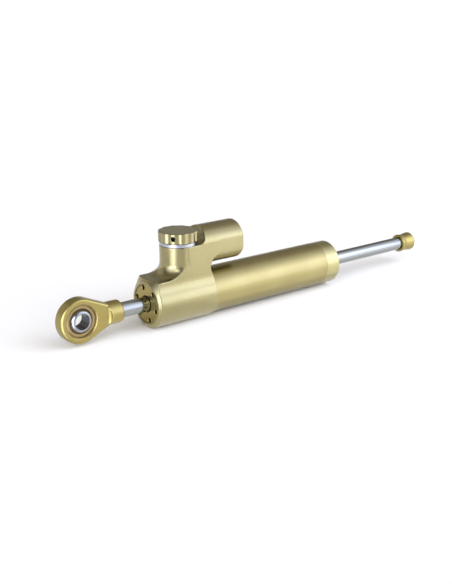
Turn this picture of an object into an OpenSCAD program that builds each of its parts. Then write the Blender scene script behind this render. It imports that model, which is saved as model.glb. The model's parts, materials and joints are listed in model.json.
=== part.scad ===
// Linear motorcycle steering damper: a through rod in a double tube, with a piggyback reservoir,
// a click adjuster on a tower and a spherical bearing eye.
// The origin is the centre of the bearing ball. +X runs along the rod to its tail, +Z up the adjuster.

/* [Rod end] */
// Outside diameter of the eye
eye_d = 23.2; // [22:0.1:28]
// Width of the eye across its flats
eye_w = 7; // [6.2:0.1:9]
// Edge chamfer of the eye
eye_edge = 0.9; // [0.2:0.1:1.2]
// Diameter of the round shank
shank_d = 12; // [11:0.1:14]
// Radius about the eye's axis at which the flats end
flat_reach = 16.4; // [15:0.1:17.5]
// Eye centre to the end of the shank
shank_len = 23.7; // [22:0.1:30]
// Edge round at the end of the shank
shank_round = 1.4; // [0.4:0.1:2.5]
// Diameter of the rod's front stud, in the shank
stud_d = 6; // [5:0.1:7]
// Length of the rod's front stud
stud_len = 9.5; // [6:0.1:10.5]

/* [Spherical bearing] */
// Outside diameter of the race
race_d = 16; // [15.5:0.1:18]
// Width of the race
race_w = 5; // [4.4:0.1:6]
// Depth of the lead-in chamfer at the mouth of the eye
race_lead = 0.9; // [0.3:0.1:1.1]
// Diameter of the ball's sphere
ball_d = 13; // [12.6:0.1:13.4]
// Width of the ball
ball_w = 8; // [7:0.1:9]
// Bolt bore of the ball
bolt_d = 8; // [6:0.1:8.4]
// Chamfer of the bolt bore
bolt_edge = 0.3; // [0.1:0.1:0.6]
// Thickness of the sliding liner
liner_t = 0.5; // [0.3:0.05:0.6]

/* [Rod, piston and stopper] */
// Diameter of the rod
rod_d = 8; // [7:0.1:9]
// Bare rod between the shank and the head, as pictured
front_gap = 16.3; // [6:0.1:40]
// Bare rod between the end cap and the stopper, as pictured
rear_gap = 64.9; // [40:0.1:80]
// Length of the stopper
stop_len = 10.7; // [8.5:0.1:14]
// Diameter of the stopper's lip
stop_lip_d = 11; // [10.8:0.1:16]
// Width of the stopper's lip
stop_lip_w = 1.6; // [1:0.1:2]
// Diameter of the stopper's waist
stop_waist_d = 10; // [9.6:0.1:10.6]
// Lip face to the stopper's waist
stop_waist_x = 3.4; // [2.4:0.1:4.4]
// Diameter of the stopper's flared end
stop_end_d = 11.7; // [11:0.1:16]
// Edge chamfer of the stopper's flared end
stop_edge = 0.9; // [0.3:0.1:1.4]
// Depth of the recess around the rod in the stopper's lip
stop_recess = 0.8; // [0.3:0.1:1.5]
// Gap around the rod in the stopper's recess
stop_gap = 0.2; // [0.1:0.05:0.5]
// Diameter of the rod's tail stud, in the stopper
tail_d = 5; // [4:0.1:6]
// Length of the rod's tail stud
tail_len = 6; // [3:0.1:7]
// Length of the piston
piston_len = 9; // [8:0.1:12]
// Width of the piston ring
piston_ring_w = 2.9; // [2:0.1:4]
// Depth of the piston ring
piston_ring_t = 1; // [0.6:0.1:1.6]
// Thickness of the piston's retaining rings
rod_clip_t = 0.8; // [0.6:0.1:1.2]
// Depth of the retaining rings' grooves in the rod
rod_clip_depth = 0.4; // [0.2:0.1:0.7]
// Height of the retaining rings above the rod
rod_clip_h = 1.2; // [0.8:0.1:2]

/* [Head] */
// Diameter of the head
head_d = 26.5; // [25.6:0.1:30]
// Length of the head
head_len = 37.7; // [36.5:0.1:44]
// Diameter of the head's flat front face
face_d = 22; // [22:0.1:24]
// Length of the cone around the front face
face_cone = 1.3; // [0.4:0.1:2.5]
// Edge chamfer where the head steps down to the tube
head_edge = 0.4; // [0.1:0.1:0.7]
// Width across the tower's flat sides, and diameter of the tower
side_w = 19.9; // [19.4:0.1:20.6]
// Concave round between the flat sides and the head
side_round = 6; // [2:0.1:9]
// Front face to the tower's axis
tower_x = 21.3; // [20.6:0.1:24]
// Height of the tower's top above the rod
tower_z = 28.9; // [28.4:0.1:32]
// Height of the saddle in front of the tower
saddle_z = 13; // [12.7:0.1:14]
// Concave round between saddle and tower
saddle_round = 6.8; // [2:0.1:10]
// Diameter of the round pocket around the knob
pocket_d = 40; // [27:0.1:44]
// Tower's axis to the pocket's wall, behind the knob
pocket_reach = 12.8; // [12.6:0.1:14]
// Concave round at the pocket's floor
pocket_round = 2.9; // [1:0.1:2.9]
// Diameter of the slot's round end, under the reservoir
slot_d = 10.4; // [7:0.1:12]
// Front face to the centre of the slot's end
slot_x = 40.9; // [40:0.1:44]
// Height of the slot's centre above the rod
slot_z = 15.6; // [14.5:0.1:17]
// Chamfer of the slot's rim
slot_edge = 0.6; // [0.2:0.1:1]

/* [Reservoir] */
// Outside diameter of the reservoir barrel
barrel_d = 21.2; // [20.8:0.1:24]
// Height of the barrel's axis above the rod
barrel_z = 26.35; // [26:0.05:30]
// Front face to the barrel's rear end
barrel_end = 57.95; // [56:0.05:80]
// Edge chamfer of the barrel's rear end
barrel_edge = 0.8; // [0.2:0.1:1.2]
// Bore of the barrel
barrel_bore = 17.2; // [15:0.1:17.4]
// Depth of the barrel's bore
barrel_depth = 21; // [20.5:0.1:40]
// Length of the floating piston
float_len = 5; // [4.5:0.1:8]
// Thickness of the floating piston's floor
float_floor = 3.8; // [3.2:0.1:4.2]
// Wall of the floating piston's cup
float_wall = 1.7; // [1:0.1:2.4]
// Oil space in front of the floating piston
float_gap = 3; // [1:0.1:5]
// Length of the reservoir plug
plug_len = 5; // [4:0.1:6]
// Diameter of the dish in the plug's face
dish_d = 9.4; // [6:0.1:11]
// Depth of the dish in the plug's face
dish_depth = 1; // [0.4:0.1:1.4]
// Thickness of the plug's retaining ring
plug_clip_t = 0.9; // [0.6:0.1:1.2]
// Depth of the retaining ring's groove
plug_clip_depth = 0.5; // [0.2:0.05:0.6]
// Wall left behind the retaining ring
plug_lip = 0.5; // [0.3:0.1:1.5]
// Wire diameter of the reservoir spring
float_wire = 1.1; // [0.8:0.1:1.4]
// Mean diameter of the reservoir spring
float_coil_d = 11.7; // [10:0.1:12.2]
// Turns of the reservoir spring
float_turns = 3; // [2:0.5:4]

/* [Tubes] */
// Outside diameter of the tube
tube_d = 25; // [24:0.1:26]
// Bare length of the tube, from the head to the end cap
tube_len = 82.2; // [78:0.1:120]
// Bore of the outer tube
tube_bore = 20.5; // [20:0.1:21]
// Diameter of the tube's spigot, in the head
spigot_d = 23; // [22.4:0.1:23.6]
// Depth of the spigot's socket in the head
spigot_depth = 9.7; // [8:0.1:9.8]
// Outside diameter of the inner cylinder
cylinder_d = 18; // [17.6:0.1:18.4]
// Bore of the inner cylinder
cylinder_bore = 16; // [15:0.1:16.4]
// Diameter of the oil ports in the inner cylinder
port_d = 3; // [2:0.1:3.4]

/* [Glands] */
// Length of the end cap's visible band
cap_len = 10; // [10:0.1:16]
// Edge round of the end cap
cap_edge = 0.6; // [0.2:0.1:1.2]
// Depth of the thread ring on the end cap
cap_thread = 7.3; // [4:0.1:8]
// Wall of the thread ring on the end cap
cap_thread_t = 0.9; // [0.7:0.05:1]
// Length of the nose that centres the inner cylinder
nose_len = 1.8; // [1:0.1:2]
// Outside diameter of the front gland
gland_d = 20.6; // [20.4:0.1:21.6]
// Length of the front gland's wide end
gland_wide = 9.8; // [8:0.1:10.5]
// Length of the whole front gland
gland_len = 18.3; // [18:0.1:18.6]
// Setback of the front gland behind the head's face
gland_setback = 0.25; // [0.1:0.05:0.6]
// Diameter of the pin-spanner holes
spanner_d = 2.4; // [1.6:0.1:2.8]
// Depth of the pin-spanner holes
spanner_depth = 2.4; // [2:0.1:6]
// Pitch circle diameter of the pin-spanner holes
spanner_pcd = 17.4; // [16.6:0.1:18]
// Number of pin-spanner holes
spanner_n = 6; // [4:1:8]
// Angle of the first pin-spanner hole
spanner_turn = 14; // [0:1:60]
// Radial gap around the rod at a gland's mouth
mouth_gap = 0.5; // [0.3:0.05:0.8]
// Wall of a gland's mouth
mouth_t = 1; // [0.6:0.1:1.4]
// Width of a wiper
wiper_w = 1.8; // [1.4:0.1:2]
// Width of a rod seal
seal_w = 2.6; // [2:0.1:2.8]
// Radial height of wipers and rod seals
seal_h = 2; // [1.6:0.1:2.4]
// Wall between seal grooves
seal_land = 0.7; // [0.4:0.1:0.8]
// Length of a guide bush
bush_len = 5; // [4:0.1:5.4]
// Wall of a guide bush
bush_t = 1; // [0.6:0.1:1.4]

/* [Adjuster] */
// Diameter of the knob
knob_d = 21.14; // [20:0.02:22]
// Height of the knob
knob_h = 5.4; // [5:0.1:9]
// Height of the set screw above the knob's underside
screw_up = 2.8; // [2.4:0.1:3]
// Number of flutes on the knob's rim
flute_n = 12; // [6:1:18]
// Radius of the flutes
flute_r = 3; // [2:0.1:6]
// Depth of the flutes
flute_depth = 0.5; // [0.1:0.05:0.7]
// Edge chamfer of the knob
knob_edge = 0.4; // [0.1:0.1:0.8]
// Diameter of the set screw
screw_d = 2.5; // [2:0.1:3.2]
// Length of the set screw
screw_len = 4; // [3:0.1:6]
// Direction of the set screw about the tower's axis
screw_turn = -139.5; // [-180:0.5:180]
// Outside diameter of the index ring
index_d = 19.6; // [19:0.1:21]
// Thickness of the index ring
index_t = 1.6; // [1:0.1:2]
// Gap between the index ring and the knob
knob_gap = 0.35; // [0.3:0.05:0.6]
// Outside diameter of the adjuster cartridge
cart_d = 12; // [11:0.1:12.4]
// Depth of the cartridge's bore below the tower's top
cart_depth = 14.4; // [14:0.1:14.8]
// Diameter of the spindle in the cartridge
spindle_d = 5.9; // [5:0.1:6.4]
// Diameter of the spindle's shaft in the knob
shaft_d = 4; // [3.4:0.1:4.4]
// Length of the spindle's shaft in the knob
shaft_reach = 3.8; // [3:0.1:4.4]
// Height of the spindle's wide body
spindle_h = 3.3; // [3:0.1:3.6]
// Diameter of the needle's threaded shank
needle_d = 2; // [1.6:0.1:2.2]
// Length of the needle's tapered tip
tip_h = 2.4; // [1.6:0.1:2.8]
// Diameter of the needle's keyed stem
key_d = 4.4; // [4:0.1:4.6]
// Width of the needle's keyed stem
key_w = 3.2; // [2.8:0.1:3.6]
// Height of the keyed way in the cartridge
key_h = 3.2; // [2.8:0.1:3.4]
// Height of the needle's chamber in the cartridge
room_h = 3.4; // [3.2:0.1:3.6]
// Diameter of the metering orifice
orifice_d = 1.8; // [1.4:0.1:2]
// Thickness of the needle seat
seat_t = 2.5; // [2:0.1:3]
// Most that the needle travels each way from its middle
needle_travel = 0.5; // [0.3:0.05:0.7]
// Diameter of the detent ball
click_d = 2; // [1.6:0.1:2.2]
// Pitch radius of the detent
click_r = 7.9; // [7.6:0.1:8.2]
// Rise of the detent ball into a click
click_rise = 0.3; // [0.2:0.05:0.4]
// Depth of the detent ball's centre below the knob's underside
click_drop = 0.54; // [0.5:0.01:0.6]
// Number of click positions in a full turn
click_n = 24; // [12:1:30]
// Depth of the detent spring's hole
click_depth = 4.6; // [3:0.1:6]
// Wire diameter of the detent spring
click_wire = 0.48; // [0.3:0.02:0.5]
// Turns of the detent spring
click_turns = 6; // [4:1:7]

/* [Seals and fits] */
// Section of the large O-rings
cord_d = 1; // [0.8:0.1:1.2]
// Section of the small O-rings
small_cord_d = 0.8; // [0.6:0.1:0.9]
// Radial play of a fixed fit
fixed_play = 0.03; // [0.02:0.01:0.06]
// Radial play of a running fit
running_play = 0.05; // [0.03:0.01:0.08]

/* [Hidden] */
$fn = 64;
// Reach of a cutting body past the face that it cuts
cut = 1;

// Stations along the rod
head_x = shank_len + front_gap;
head_end_x = head_x + head_len;
cap_x = head_end_x + tube_len;
rear_x = cap_x + cap_len;
stop_x = rear_x + rear_gap;
tower_ax = head_x + tower_x;
barrel_end_x = head_x + barrel_end;
barrel_in_x = barrel_end_x - barrel_depth;
socket_x = head_end_x - spigot_depth;
gland_x = head_x + gland_setback;
chamber_x0 = gland_x + gland_len;
chamber_x1 = cap_x - nose_len;
cylinder_x0 = chamber_x0 - nose_len;
// The piston keeps the same distance from both ends of the chamber over the rod's travel
piston_x = (chamber_x0 + chamber_x1 - piston_len + rear_gap - front_gap) / 2;

// Radii
rod_r = rod_d / 2;
head_r = head_d / 2;
tube_r = tube_d / 2;
half_w = side_w / 2;
seal_r = rod_r + seal_h;
bush_r = rod_r + bush_t + running_play;
ball_r = ball_d / 2;
liner_r0 = ball_r + running_play;
liner_r1 = liner_r0 + liner_t;
socket_r = liner_r1 + running_play;
cart_r = cart_d / 2;

// Heights on the tower
index_z = tower_z + index_t;
knob_z = index_z + knob_gap;
knob_top_z = knob_z + knob_h;
cart_z0 = tower_z - cart_depth;
seat_z1 = cart_z0 + seat_t;
guide_z = seat_z1 + room_h;
spindle_z = guide_z + key_h;
shoulder_z = spindle_z + spindle_h;
spindle_clip_z = shoulder_z + 4 * running_play;
screw_z = knob_z + screw_up;
click_z = knob_z - click_drop;

GOLD = "#c9b57a";
EYE_GOLD = "#bfa550";
CHROME = "#c9ccd4";
STEEL = "#9a9ca0";
BRONZE = "#a98a55";
RUBBER = "#242424";
POLYMER = "#5a564c";

// Round bar along +X
module bar_x(x, len, r) {
    translate([x, 0, 0]) rotate([0, 90, 0]) cylinder(h = len, r = r);
}

// Cone along +X
module cone_x(x, len, r0, r1) {
    translate([x, 0, 0]) rotate([0, 90, 0]) cylinder(h = len, r1 = r0, r2 = r1);
}

// Sleeve along +X
module sleeve_x(x, len, r_in, r_out) {
    difference() {
        bar_x(x, len, r_out);
        bar_x(x - cut, len + 2 * cut, r_in);
    }
}

// Torus about the X axis
module torus_x(x, r, section_r) {
    translate([x, 0, 0]) rotate([0, 90, 0]) rotate_extrude() translate([r, 0]) circle(section_r);
}

// Torus about the Z axis
module torus_z(z, r, section_r) {
    translate([0, 0, z]) rotate_extrude() translate([r, 0]) circle(section_r);
}

// Sleeve along +Z
module sleeve_z(z, h, r_in, r_out) {
    translate([0, 0, z]) difference() {
        cylinder(h = h, r = r_out);
        translate([0, 0, -cut]) cylinder(h = h + 2 * cut, r = r_in);
    }
}

// Points of a helical wire along +X: one ring of points for each step
function coil_ring(angle, x, coil_r, wire_r, sides) = [
    for (s = [0 : sides - 1])
        let (rr = coil_r + wire_r * cos(360 * s / sides))
        [x + wire_r * sin(360 * s / sides), rr * cos(angle), rr * sin(angle)]
];

// Helical wire along +X, with closed ends
module coil_x(len, coil_r, wire_r, turns, steps = 20, sides = 8) {
    n = round(turns * steps);
    rise = len - 2 * wire_r;
    points = [for (i = [0 : n])
        each coil_ring(360 * i / steps, wire_r + rise * i / n, coil_r, wire_r, sides)];
    walls = [for (i = [0 : n - 1]) for (s = [0 : sides - 1])
        let (t = (s + 1) % sides)
        [i * sides + s, i * sides + t, (i + 1) * sides + t, (i + 1) * sides + s]];
    first = [for (s = [0 : sides - 1]) sides - 1 - s];
    last = [for (s = [0 : sides - 1]) n * sides + s];
    polyhedron(points, concat([first, last], walls));
}

// Places its children in the frame of the eye, with +Z along the bolt
module in_eye() {
    rotate([-90, 0, 0]) children();
}

// Places its children on the tower's axis
module on_tower() {
    translate([tower_ax, 0, 0]) children();
}

// Places its children on the reservoir's axis
module on_barrel() {
    translate([0, 0, barrel_z]) children();
}

// Open retaining ring about +X, with its gap downwards
module clip_x(x, t, r_in, r_out, gap) {
    difference() {
        sleeve_x(x, t, r_in, r_out);
        translate([x - cut, -gap / 2, -r_out - cut]) cube([t + 2 * cut, gap, r_out + cut]);
    }
}

// Seal and bush bores of a gland whose mouth is at x = 0 and which runs along +X
wiper_x = mouth_t;
seal_x = wiper_x + wiper_w + seal_land;
bush_x = seal_x + seal_w + seal_land;
module gland_bores(len) {
    bar_x(-cut, len + 2 * cut, rod_r + mouth_gap);
    bar_x(wiper_x - fixed_play, wiper_w + 2 * fixed_play, seal_r + fixed_play);
    bar_x(seal_x - fixed_play, seal_w + 2 * fixed_play, seal_r + fixed_play);
    bar_x(bush_x - fixed_play, bush_len + 2 * fixed_play, bush_r + fixed_play);
}

// Guide bush, rod seal and wiper of a gland whose mouth is at x = 0
module bush() {
    sleeve_x(bush_x, bush_len, rod_r + running_play, bush_r);
}

module rod_seal() {
    lip = seal_w / 3;
    difference() {
        sleeve_x(seal_x, seal_w, rod_r + running_play, seal_r);
        torus_x(seal_x + seal_w, rod_r + seal_h / 2, lip / 2);
    }
}

module wiper() {
    difference() {
        sleeve_x(wiper_x, wiper_w, rod_r + running_play, seal_r);
        sleeve_x(wiper_x + wiper_w / 2, wiper_w, rod_r + seal_h / 2, seal_r + cut);
    }
}

// Places its children at the rear gland, whose mouth faces the rod's tail
module at_rear_gland() {
    translate([rear_x, 0, 0]) mirror([1, 0, 0]) children();
}

module at_front_gland() {
    translate([gland_x, 0, 0]) children();
}

// O-ring whose outside bears on a bore
function outer_cord_r(bore_r, section) = bore_r - section / 2 - fixed_play;

// Groove for an O-ring on a plug that turns about X
module cord_groove_x(x, bore_r, section) {
    sleeve_x(x - section / 2 - fixed_play, section + 2 * fixed_play,
        bore_r - section - 2 * fixed_play, bore_r + cut);
}

// Eye with chamfered edges, and a neck whose sides are tangent to it
module eye_form() {
    eye_r = eye_d / 2;
    neck_r = shank_d / 2;
    neck_x = sqrt(flat_reach * flat_reach - neck_r * neck_r);
    touch_a = asin(neck_r / flat_reach) + acos(eye_r / flat_reach);
    touch = eye_r * [cos(touch_a), sin(touch_a)];
    difference() {
        translate([0, 0, -eye_w / 2]) {
            cylinder(h = eye_w, r = eye_r);
            linear_extrude(eye_w) polygon([
                [0, 0], touch, [neck_x, neck_r], [neck_x, -neck_r], [touch[0], -touch[1]]
            ]);
        }
        for (side = [0, 1]) mirror([0, 0, side]) translate([0, 0, eye_w / 2 - eye_edge]) difference() {
            cylinder(h = eye_edge + cut, r = eye_r + cut);
            cylinder(h = eye_edge, r1 = eye_r, r2 = eye_r - eye_edge);
            translate([touch[0], -eye_d, -cut]) cube([eye_d, 2 * eye_d, 4 * cut]);
        }
    }
}

// Gold eye with a round shank
module rod_end_housing() {
    shank_r = shank_d / 2;
    round_x = shank_len - shank_round;
    color(EYE_GOLD) difference() {
        union() {
            in_eye() eye_form();
            in_eye() difference() {
                rotate([0, 90, 0]) cylinder(h = round_x, r = shank_r);
                for (side = [0, 1]) mirror([0, 0, side]) translate([0, 0, eye_w / 2 - fixed_play])
                    cylinder(h = shank_d, r = flat_reach);
            }
            bar_x(round_x, shank_round, shank_r - shank_round);
            torus_x(round_x, shank_r - shank_round, shank_round);
        }
        in_eye() translate([0, 0, -eye_w]) cylinder(h = 2 * eye_w, r = race_d / 2 + fixed_play);
        in_eye() for (side = [0, 1]) mirror([0, 0, side]) translate([0, 0, eye_w / 2 - race_lead])
            cylinder(h = race_lead + cut, r1 = race_d / 2, r2 = race_d / 2 + race_lead + cut);
        bar_x(shank_len - stud_len - fixed_play, stud_len + cut, stud_d / 2 + fixed_play);
    }
}

// Outer ring of the spherical bearing
module bearing_race() {
    edge = race_lead / 4;
    color(BRONZE) in_eye() difference() {
        union() {
            translate([0, 0, -race_w / 2 + edge]) cylinder(h = race_w - 2 * edge, r = race_d / 2);
            for (side = [0, 1]) mirror([0, 0, side]) translate([0, 0, race_w / 2 - edge])
                cylinder(h = edge, r1 = race_d / 2, r2 = race_d / 2 - edge);
        }
        sphere(r = socket_r);
    }
}

// Sliding liner between race and ball
module bearing_liner() {
    color(POLYMER) in_eye() difference() {
        intersection() {
            sphere(r = liner_r1);
            translate([0, 0, -race_w / 2]) cylinder(h = race_w, r = race_d);
        }
        sphere(r = liner_r0);
    }
}

// Ball with the bolt bore
module bearing_ball() {
    color(CHROME) in_eye() difference() {
        intersection() {
            sphere(r = ball_r);
            translate([0, 0, -ball_w / 2]) cylinder(h = ball_w, r = ball_d);
        }
        translate([0, 0, -ball_w]) cylinder(h = 2 * ball_w, r = bolt_d / 2);
        for (side = [0, 1]) mirror([0, 0, side]) translate([0, 0, ball_w / 2 - bolt_edge])
            cylinder(h = bolt_edge + cut, r1 = bolt_d / 2, r2 = bolt_d / 2 + bolt_edge + cut);
    }
}

// Through rod with a stud at each end and two retaining ring grooves
module piston_rod() {
    groove_w = rod_clip_t + 2 * fixed_play;
    color(CHROME) difference() {
        union() {
            bar_x(shank_len - stud_len, stud_len + cut, stud_d / 2);
            bar_x(shank_len + fixed_play, stop_x + stop_recess - shank_len - 2 * fixed_play, rod_r);
            bar_x(stop_x, stop_recess + tail_len, tail_d / 2);
        }
        for (x = [piston_x - groove_w, piston_x + piston_len])
            sleeve_x(x, groove_w, rod_r - rod_clip_depth, rod_r + cut);
    }
}

// Two retaining rings that hold the piston
module piston_circlips() {
    color(STEEL) for (x = [piston_x - rod_clip_t - fixed_play, piston_x + piston_len + fixed_play])
        clip_x(x, rod_clip_t, rod_r - rod_clip_depth + fixed_play, rod_r + rod_clip_h, rod_d / 3);
}

// Piston with a groove for its ring
module piston() {
    bore_r = cylinder_bore / 2;
    ring_in = bore_r - running_play - piston_ring_t;
    color(STEEL) difference() {
        sleeve_x(piston_x, piston_len, rod_r + fixed_play, bore_r - 3 * running_play);
        sleeve_x(piston_x + (piston_len - piston_ring_w) / 2 - running_play,
            piston_ring_w + 2 * running_play, ring_in - running_play, bore_r + cut);
    }
}

// Sliding ring on the piston
module piston_ring() {
    bore_r = cylinder_bore / 2;
    color(POLYMER) sleeve_x(piston_x + (piston_len - piston_ring_w) / 2, piston_ring_w,
        bore_r - running_play - piston_ring_t, bore_r - running_play);
}

// Spool on the rod's tail: a lip, a waist and a flared end
module rod_stopper() {
    lip_round = stop_lip_w / 2;
    lip_r = stop_lip_d / 2 - lip_round;
    waist_r = stop_waist_d / 2;
    end_r = stop_end_d / 2;
    end_x = stop_len - stop_edge;
    color(EYE_GOLD) difference() {
        translate([stop_x, 0, 0]) union() {
            bar_x(0, stop_lip_w, lip_r);
            torus_x(lip_round, lip_r, lip_round);
            cone_x(lip_round, stop_waist_x - lip_round, lip_r + lip_round / 2, waist_r);
            cone_x(stop_waist_x, end_x - stop_waist_x, waist_r, end_r);
            cone_x(end_x, stop_edge, end_r, end_r - stop_edge);
        }
        bar_x(stop_x - cut, stop_recess + cut, rod_r + stop_gap);
        bar_x(stop_x, stop_recess + tail_len + fixed_play, tail_d / 2 + fixed_play);
    }
}

// Tower with a concave round down to the saddle
module tower_form() {
    foot_r = half_w + saddle_round;
    on_tower() {
        cylinder(h = tower_z + cut, r = half_w);
        difference() {
            cylinder(h = saddle_z + saddle_round, r = foot_r);
            torus_z(saddle_z + saddle_round, foot_r, saddle_round);
        }
        cylinder(h = saddle_z, r = head_len);
    }
}

// Concave round between a flat side and the head's cylinder
module side_fillet() {
    // The round dips just inside the head, so that the two surfaces cross
    reach = head_r + side_round - fixed_play;
    cy = half_w + side_round;
    cz = sqrt(reach * reach - cy * cy);
    touch = head_r / reach;
    difference() {
        translate([head_x, 0, 0]) rotate([90, 0, 90]) linear_extrude(head_len)
            polygon([[0, 0], [cy * touch, cz * touch], [cy, cz], [half_w, cz], [0, cz]]);
        translate([0, cy, cz]) bar_x(head_x - cut, head_len + 2 * cut, side_round);
    }
}

// Web between the head and the reservoir, with the round end of the slot
module web() {
    slot_ax = head_x + slot_x;
    difference() {
        translate([head_x, -half_w, 0]) cube([slot_x, side_w, tower_z]);
        translate([head_end_x, -half_w - cut, -cut]) cube([slot_x, side_w + 2 * cut, slot_z + cut]);
        translate([slot_ax, 0, slot_z]) rotate([90, 0, 0]) {
            translate([0, 0, -side_w]) cylinder(h = 2 * side_w, r = slot_d / 2);
            for (side = [0, 1]) mirror([0, 0, side]) translate([0, 0, half_w - slot_edge])
                cylinder(h = slot_edge + cut, r1 = slot_d / 2, r2 = slot_d / 2 + slot_edge + cut);
        }
    }
}

// Reservoir barrel with flat sides
module barrel_form() {
    r = barrel_d / 2;
    intersection() {
        on_barrel() union() {
            bar_x(tower_ax, barrel_end_x - barrel_edge - tower_ax, r);
            cone_x(barrel_end_x - barrel_edge, barrel_edge, r, r - barrel_edge);
        }
        translate([head_x, -half_w, 0]) cube([barrel_end, side_w, barrel_z + barrel_d]);
    }
}

// Outside of the head, before any bore
module head_form() {
    difference() {
        union() {
            bar_x(head_x, head_len - head_edge, head_r);
            cone_x(head_end_x - head_edge, head_edge, head_r, head_r - head_edge);
            web();
            side_fillet();
            mirror([0, 1, 0]) side_fillet();
            barrel_form();
        }
        // Saddle: everything in front of the tower's axis that stands outside the tower
        difference() {
            translate([head_x - cut, -head_d, saddle_z])
                cube([tower_x + cut, 2 * head_d, tower_z + barrel_d]);
            tower_form();
        }
        // Cone around the front face
        difference() {
            bar_x(head_x - cut, head_len / 2, head_d);
            cone_x(head_x - cut, head_len, face_d / 2 - cut * (head_r - face_d / 2) / face_cone,
                face_d / 2 + (head_len - cut) * (head_r - face_d / 2) / face_cone);
        }
        // Pocket around the knob
        on_tower() translate([pocket_reach - pocket_d / 2, 0, 0]) {
            translate([0, 0, tower_z]) cylinder(h = barrel_d, r = pocket_d / 2 - pocket_round);
            torus_z(tower_z + pocket_round, pocket_d / 2 - pocket_round, pocket_round);
            translate([0, 0, tower_z + pocket_round]) cylinder(h = barrel_d, r = pocket_d / 2);
        }
    }
}

cylinder_seal_x = tower_ax + port_d / 2 + cord_d;
collector_x = socket_x - cord_d * 2;
tube_x0 = socket_x + cord_d + 2 * fixed_play;
drill_r = small_cord_d;

// Machined head: bores for gland, cylinder, tube, adjuster and reservoir, and the drilled oil ways
module head_block() {
    color(GOLD) difference() {
        head_form();
        bar_x(head_x - cut, gland_setback + gland_wide + cut, gland_d / 2 + fixed_play);
        bar_x(head_x, head_len, cylinder_d / 2 + fixed_play);
        sleeve_x(cylinder_seal_x - cord_d / 2 - fixed_play, cord_d + 2 * fixed_play, cylinder_d / 2 - cut,
            cylinder_d / 2 + cord_d + 2 * fixed_play);
        bar_x(collector_x, spigot_depth, tube_bore / 2);
        bar_x(socket_x, spigot_depth + cut, spigot_d / 2 + fixed_play);
        on_tower() {
            translate([0, 0, cart_z0]) cylinder(h = cart_depth + cut, r = cart_r + fixed_play);
            cylinder(h = tower_z, r = port_d / 2);
            translate([cart_r - drill_r / 2, 0, 0]) cylinder(h = guide_z - drill_r, r = drill_r);
            translate([0, click_r, tower_z - click_depth])
                cylinder(h = click_depth + cut, r = click_d / 2 + running_play);
        }
        on_barrel() {
            bar_x(barrel_in_x, barrel_depth + cut, barrel_bore / 2);
            bar_x(barrel_end_x - plug_lip - plug_clip_t - 2 * fixed_play, plug_clip_t + 2 * fixed_play,
                barrel_bore / 2 + plug_clip_depth);
        }
        translate([0, 0, guide_z - 2 * drill_r]) bar_x(tower_ax, barrel_in_x + cut - tower_ax, drill_r);
    }
}

// Round cap in the head's face, with pin-spanner holes
module front_gland() {
    wide_r = gland_d / 2;
    edge = gland_setback;
    color(GOLD) difference() {
        union() {
            cone_x(gland_x, edge, wide_r - edge, wide_r);
            bar_x(gland_x + edge, gland_wide - edge, wide_r);
            bar_x(gland_x, cylinder_x0 - gland_x, cylinder_d / 2);
            bar_x(gland_x, gland_len, cylinder_bore / 2 - fixed_play);
        }
        at_front_gland() gland_bores(gland_len);
        for (i = [0 : spanner_n - 1]) rotate([spanner_turn + 360 * i / spanner_n, 0, 0])
            translate([0, spanner_pcd / 2, 0]) bar_x(gland_x - cut, spanner_depth + cut, spanner_d / 2);
        cord_groove_x((gland_x + gland_wide + cylinder_x0) / 2, cylinder_d / 2 + fixed_play, cord_d);
    }
}

module gland_o_ring() {
    color(RUBBER) torus_x((gland_x + gland_wide + cylinder_x0) / 2,
        outer_cord_r(cylinder_d / 2 + fixed_play, cord_d), cord_d / 2);
}

module front_bush() {
    color(BRONZE) at_front_gland() bush();
}

module front_rod_seal() {
    color(RUBBER) at_front_gland() rod_seal();
}

module front_wiper() {
    color(RUBBER) at_front_gland() wiper();
}

// Outer tube with a spigot for the head and a thread for the end cap
module outer_tube() {
    color(GOLD) difference() {
        union() {
            bar_x(head_end_x, tube_len, tube_r);
            bar_x(tube_x0, head_end_x - tube_x0 + cut, spigot_d / 2);
        }
        bar_x(tube_x0 - cut, cap_x - tube_x0 + 2 * cut, tube_bore / 2);
        bar_x(cap_x - cap_thread - cord_d - fixed_play, cap_thread + cord_d + cut,
            tube_bore / 2 + cap_thread_t + 2 * fixed_play);
    }
}

module tube_o_ring() {
    color(RUBBER) torus_x(socket_x + cord_d / 2 + fixed_play, (tube_bore + spigot_d) / 4, cord_d / 2);
}

module cap_o_ring() {
    color(RUBBER) torus_x(cap_x - cap_thread - cord_d / 2, (tube_bore + cap_thread_t) / 2,
        (cap_thread_t + fixed_play) / 2);
}

// Working cylinder with an oil port at the front and a ring of ports at the rear
module inner_cylinder() {
    rear_port_x = chamber_x1 - port_d;
    color(STEEL) difference() {
        sleeve_x(cylinder_x0 + fixed_play, cap_x - cylinder_x0 - 2 * fixed_play,
            cylinder_bore / 2, cylinder_d / 2);
        translate([tower_ax, 0, 0]) cylinder(h = cylinder_d, r = port_d / 2);
        for (turn = [0 : 90 : 270]) rotate([turn, 0, 0]) translate([rear_port_x, 0, 0])
            cylinder(h = cylinder_d, r = port_d / 2);
    }
}

module cylinder_o_ring() {
    color(RUBBER) torus_x(cylinder_seal_x, cylinder_d / 2 + cord_d / 2 + fixed_play, cord_d / 2);
}

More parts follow.
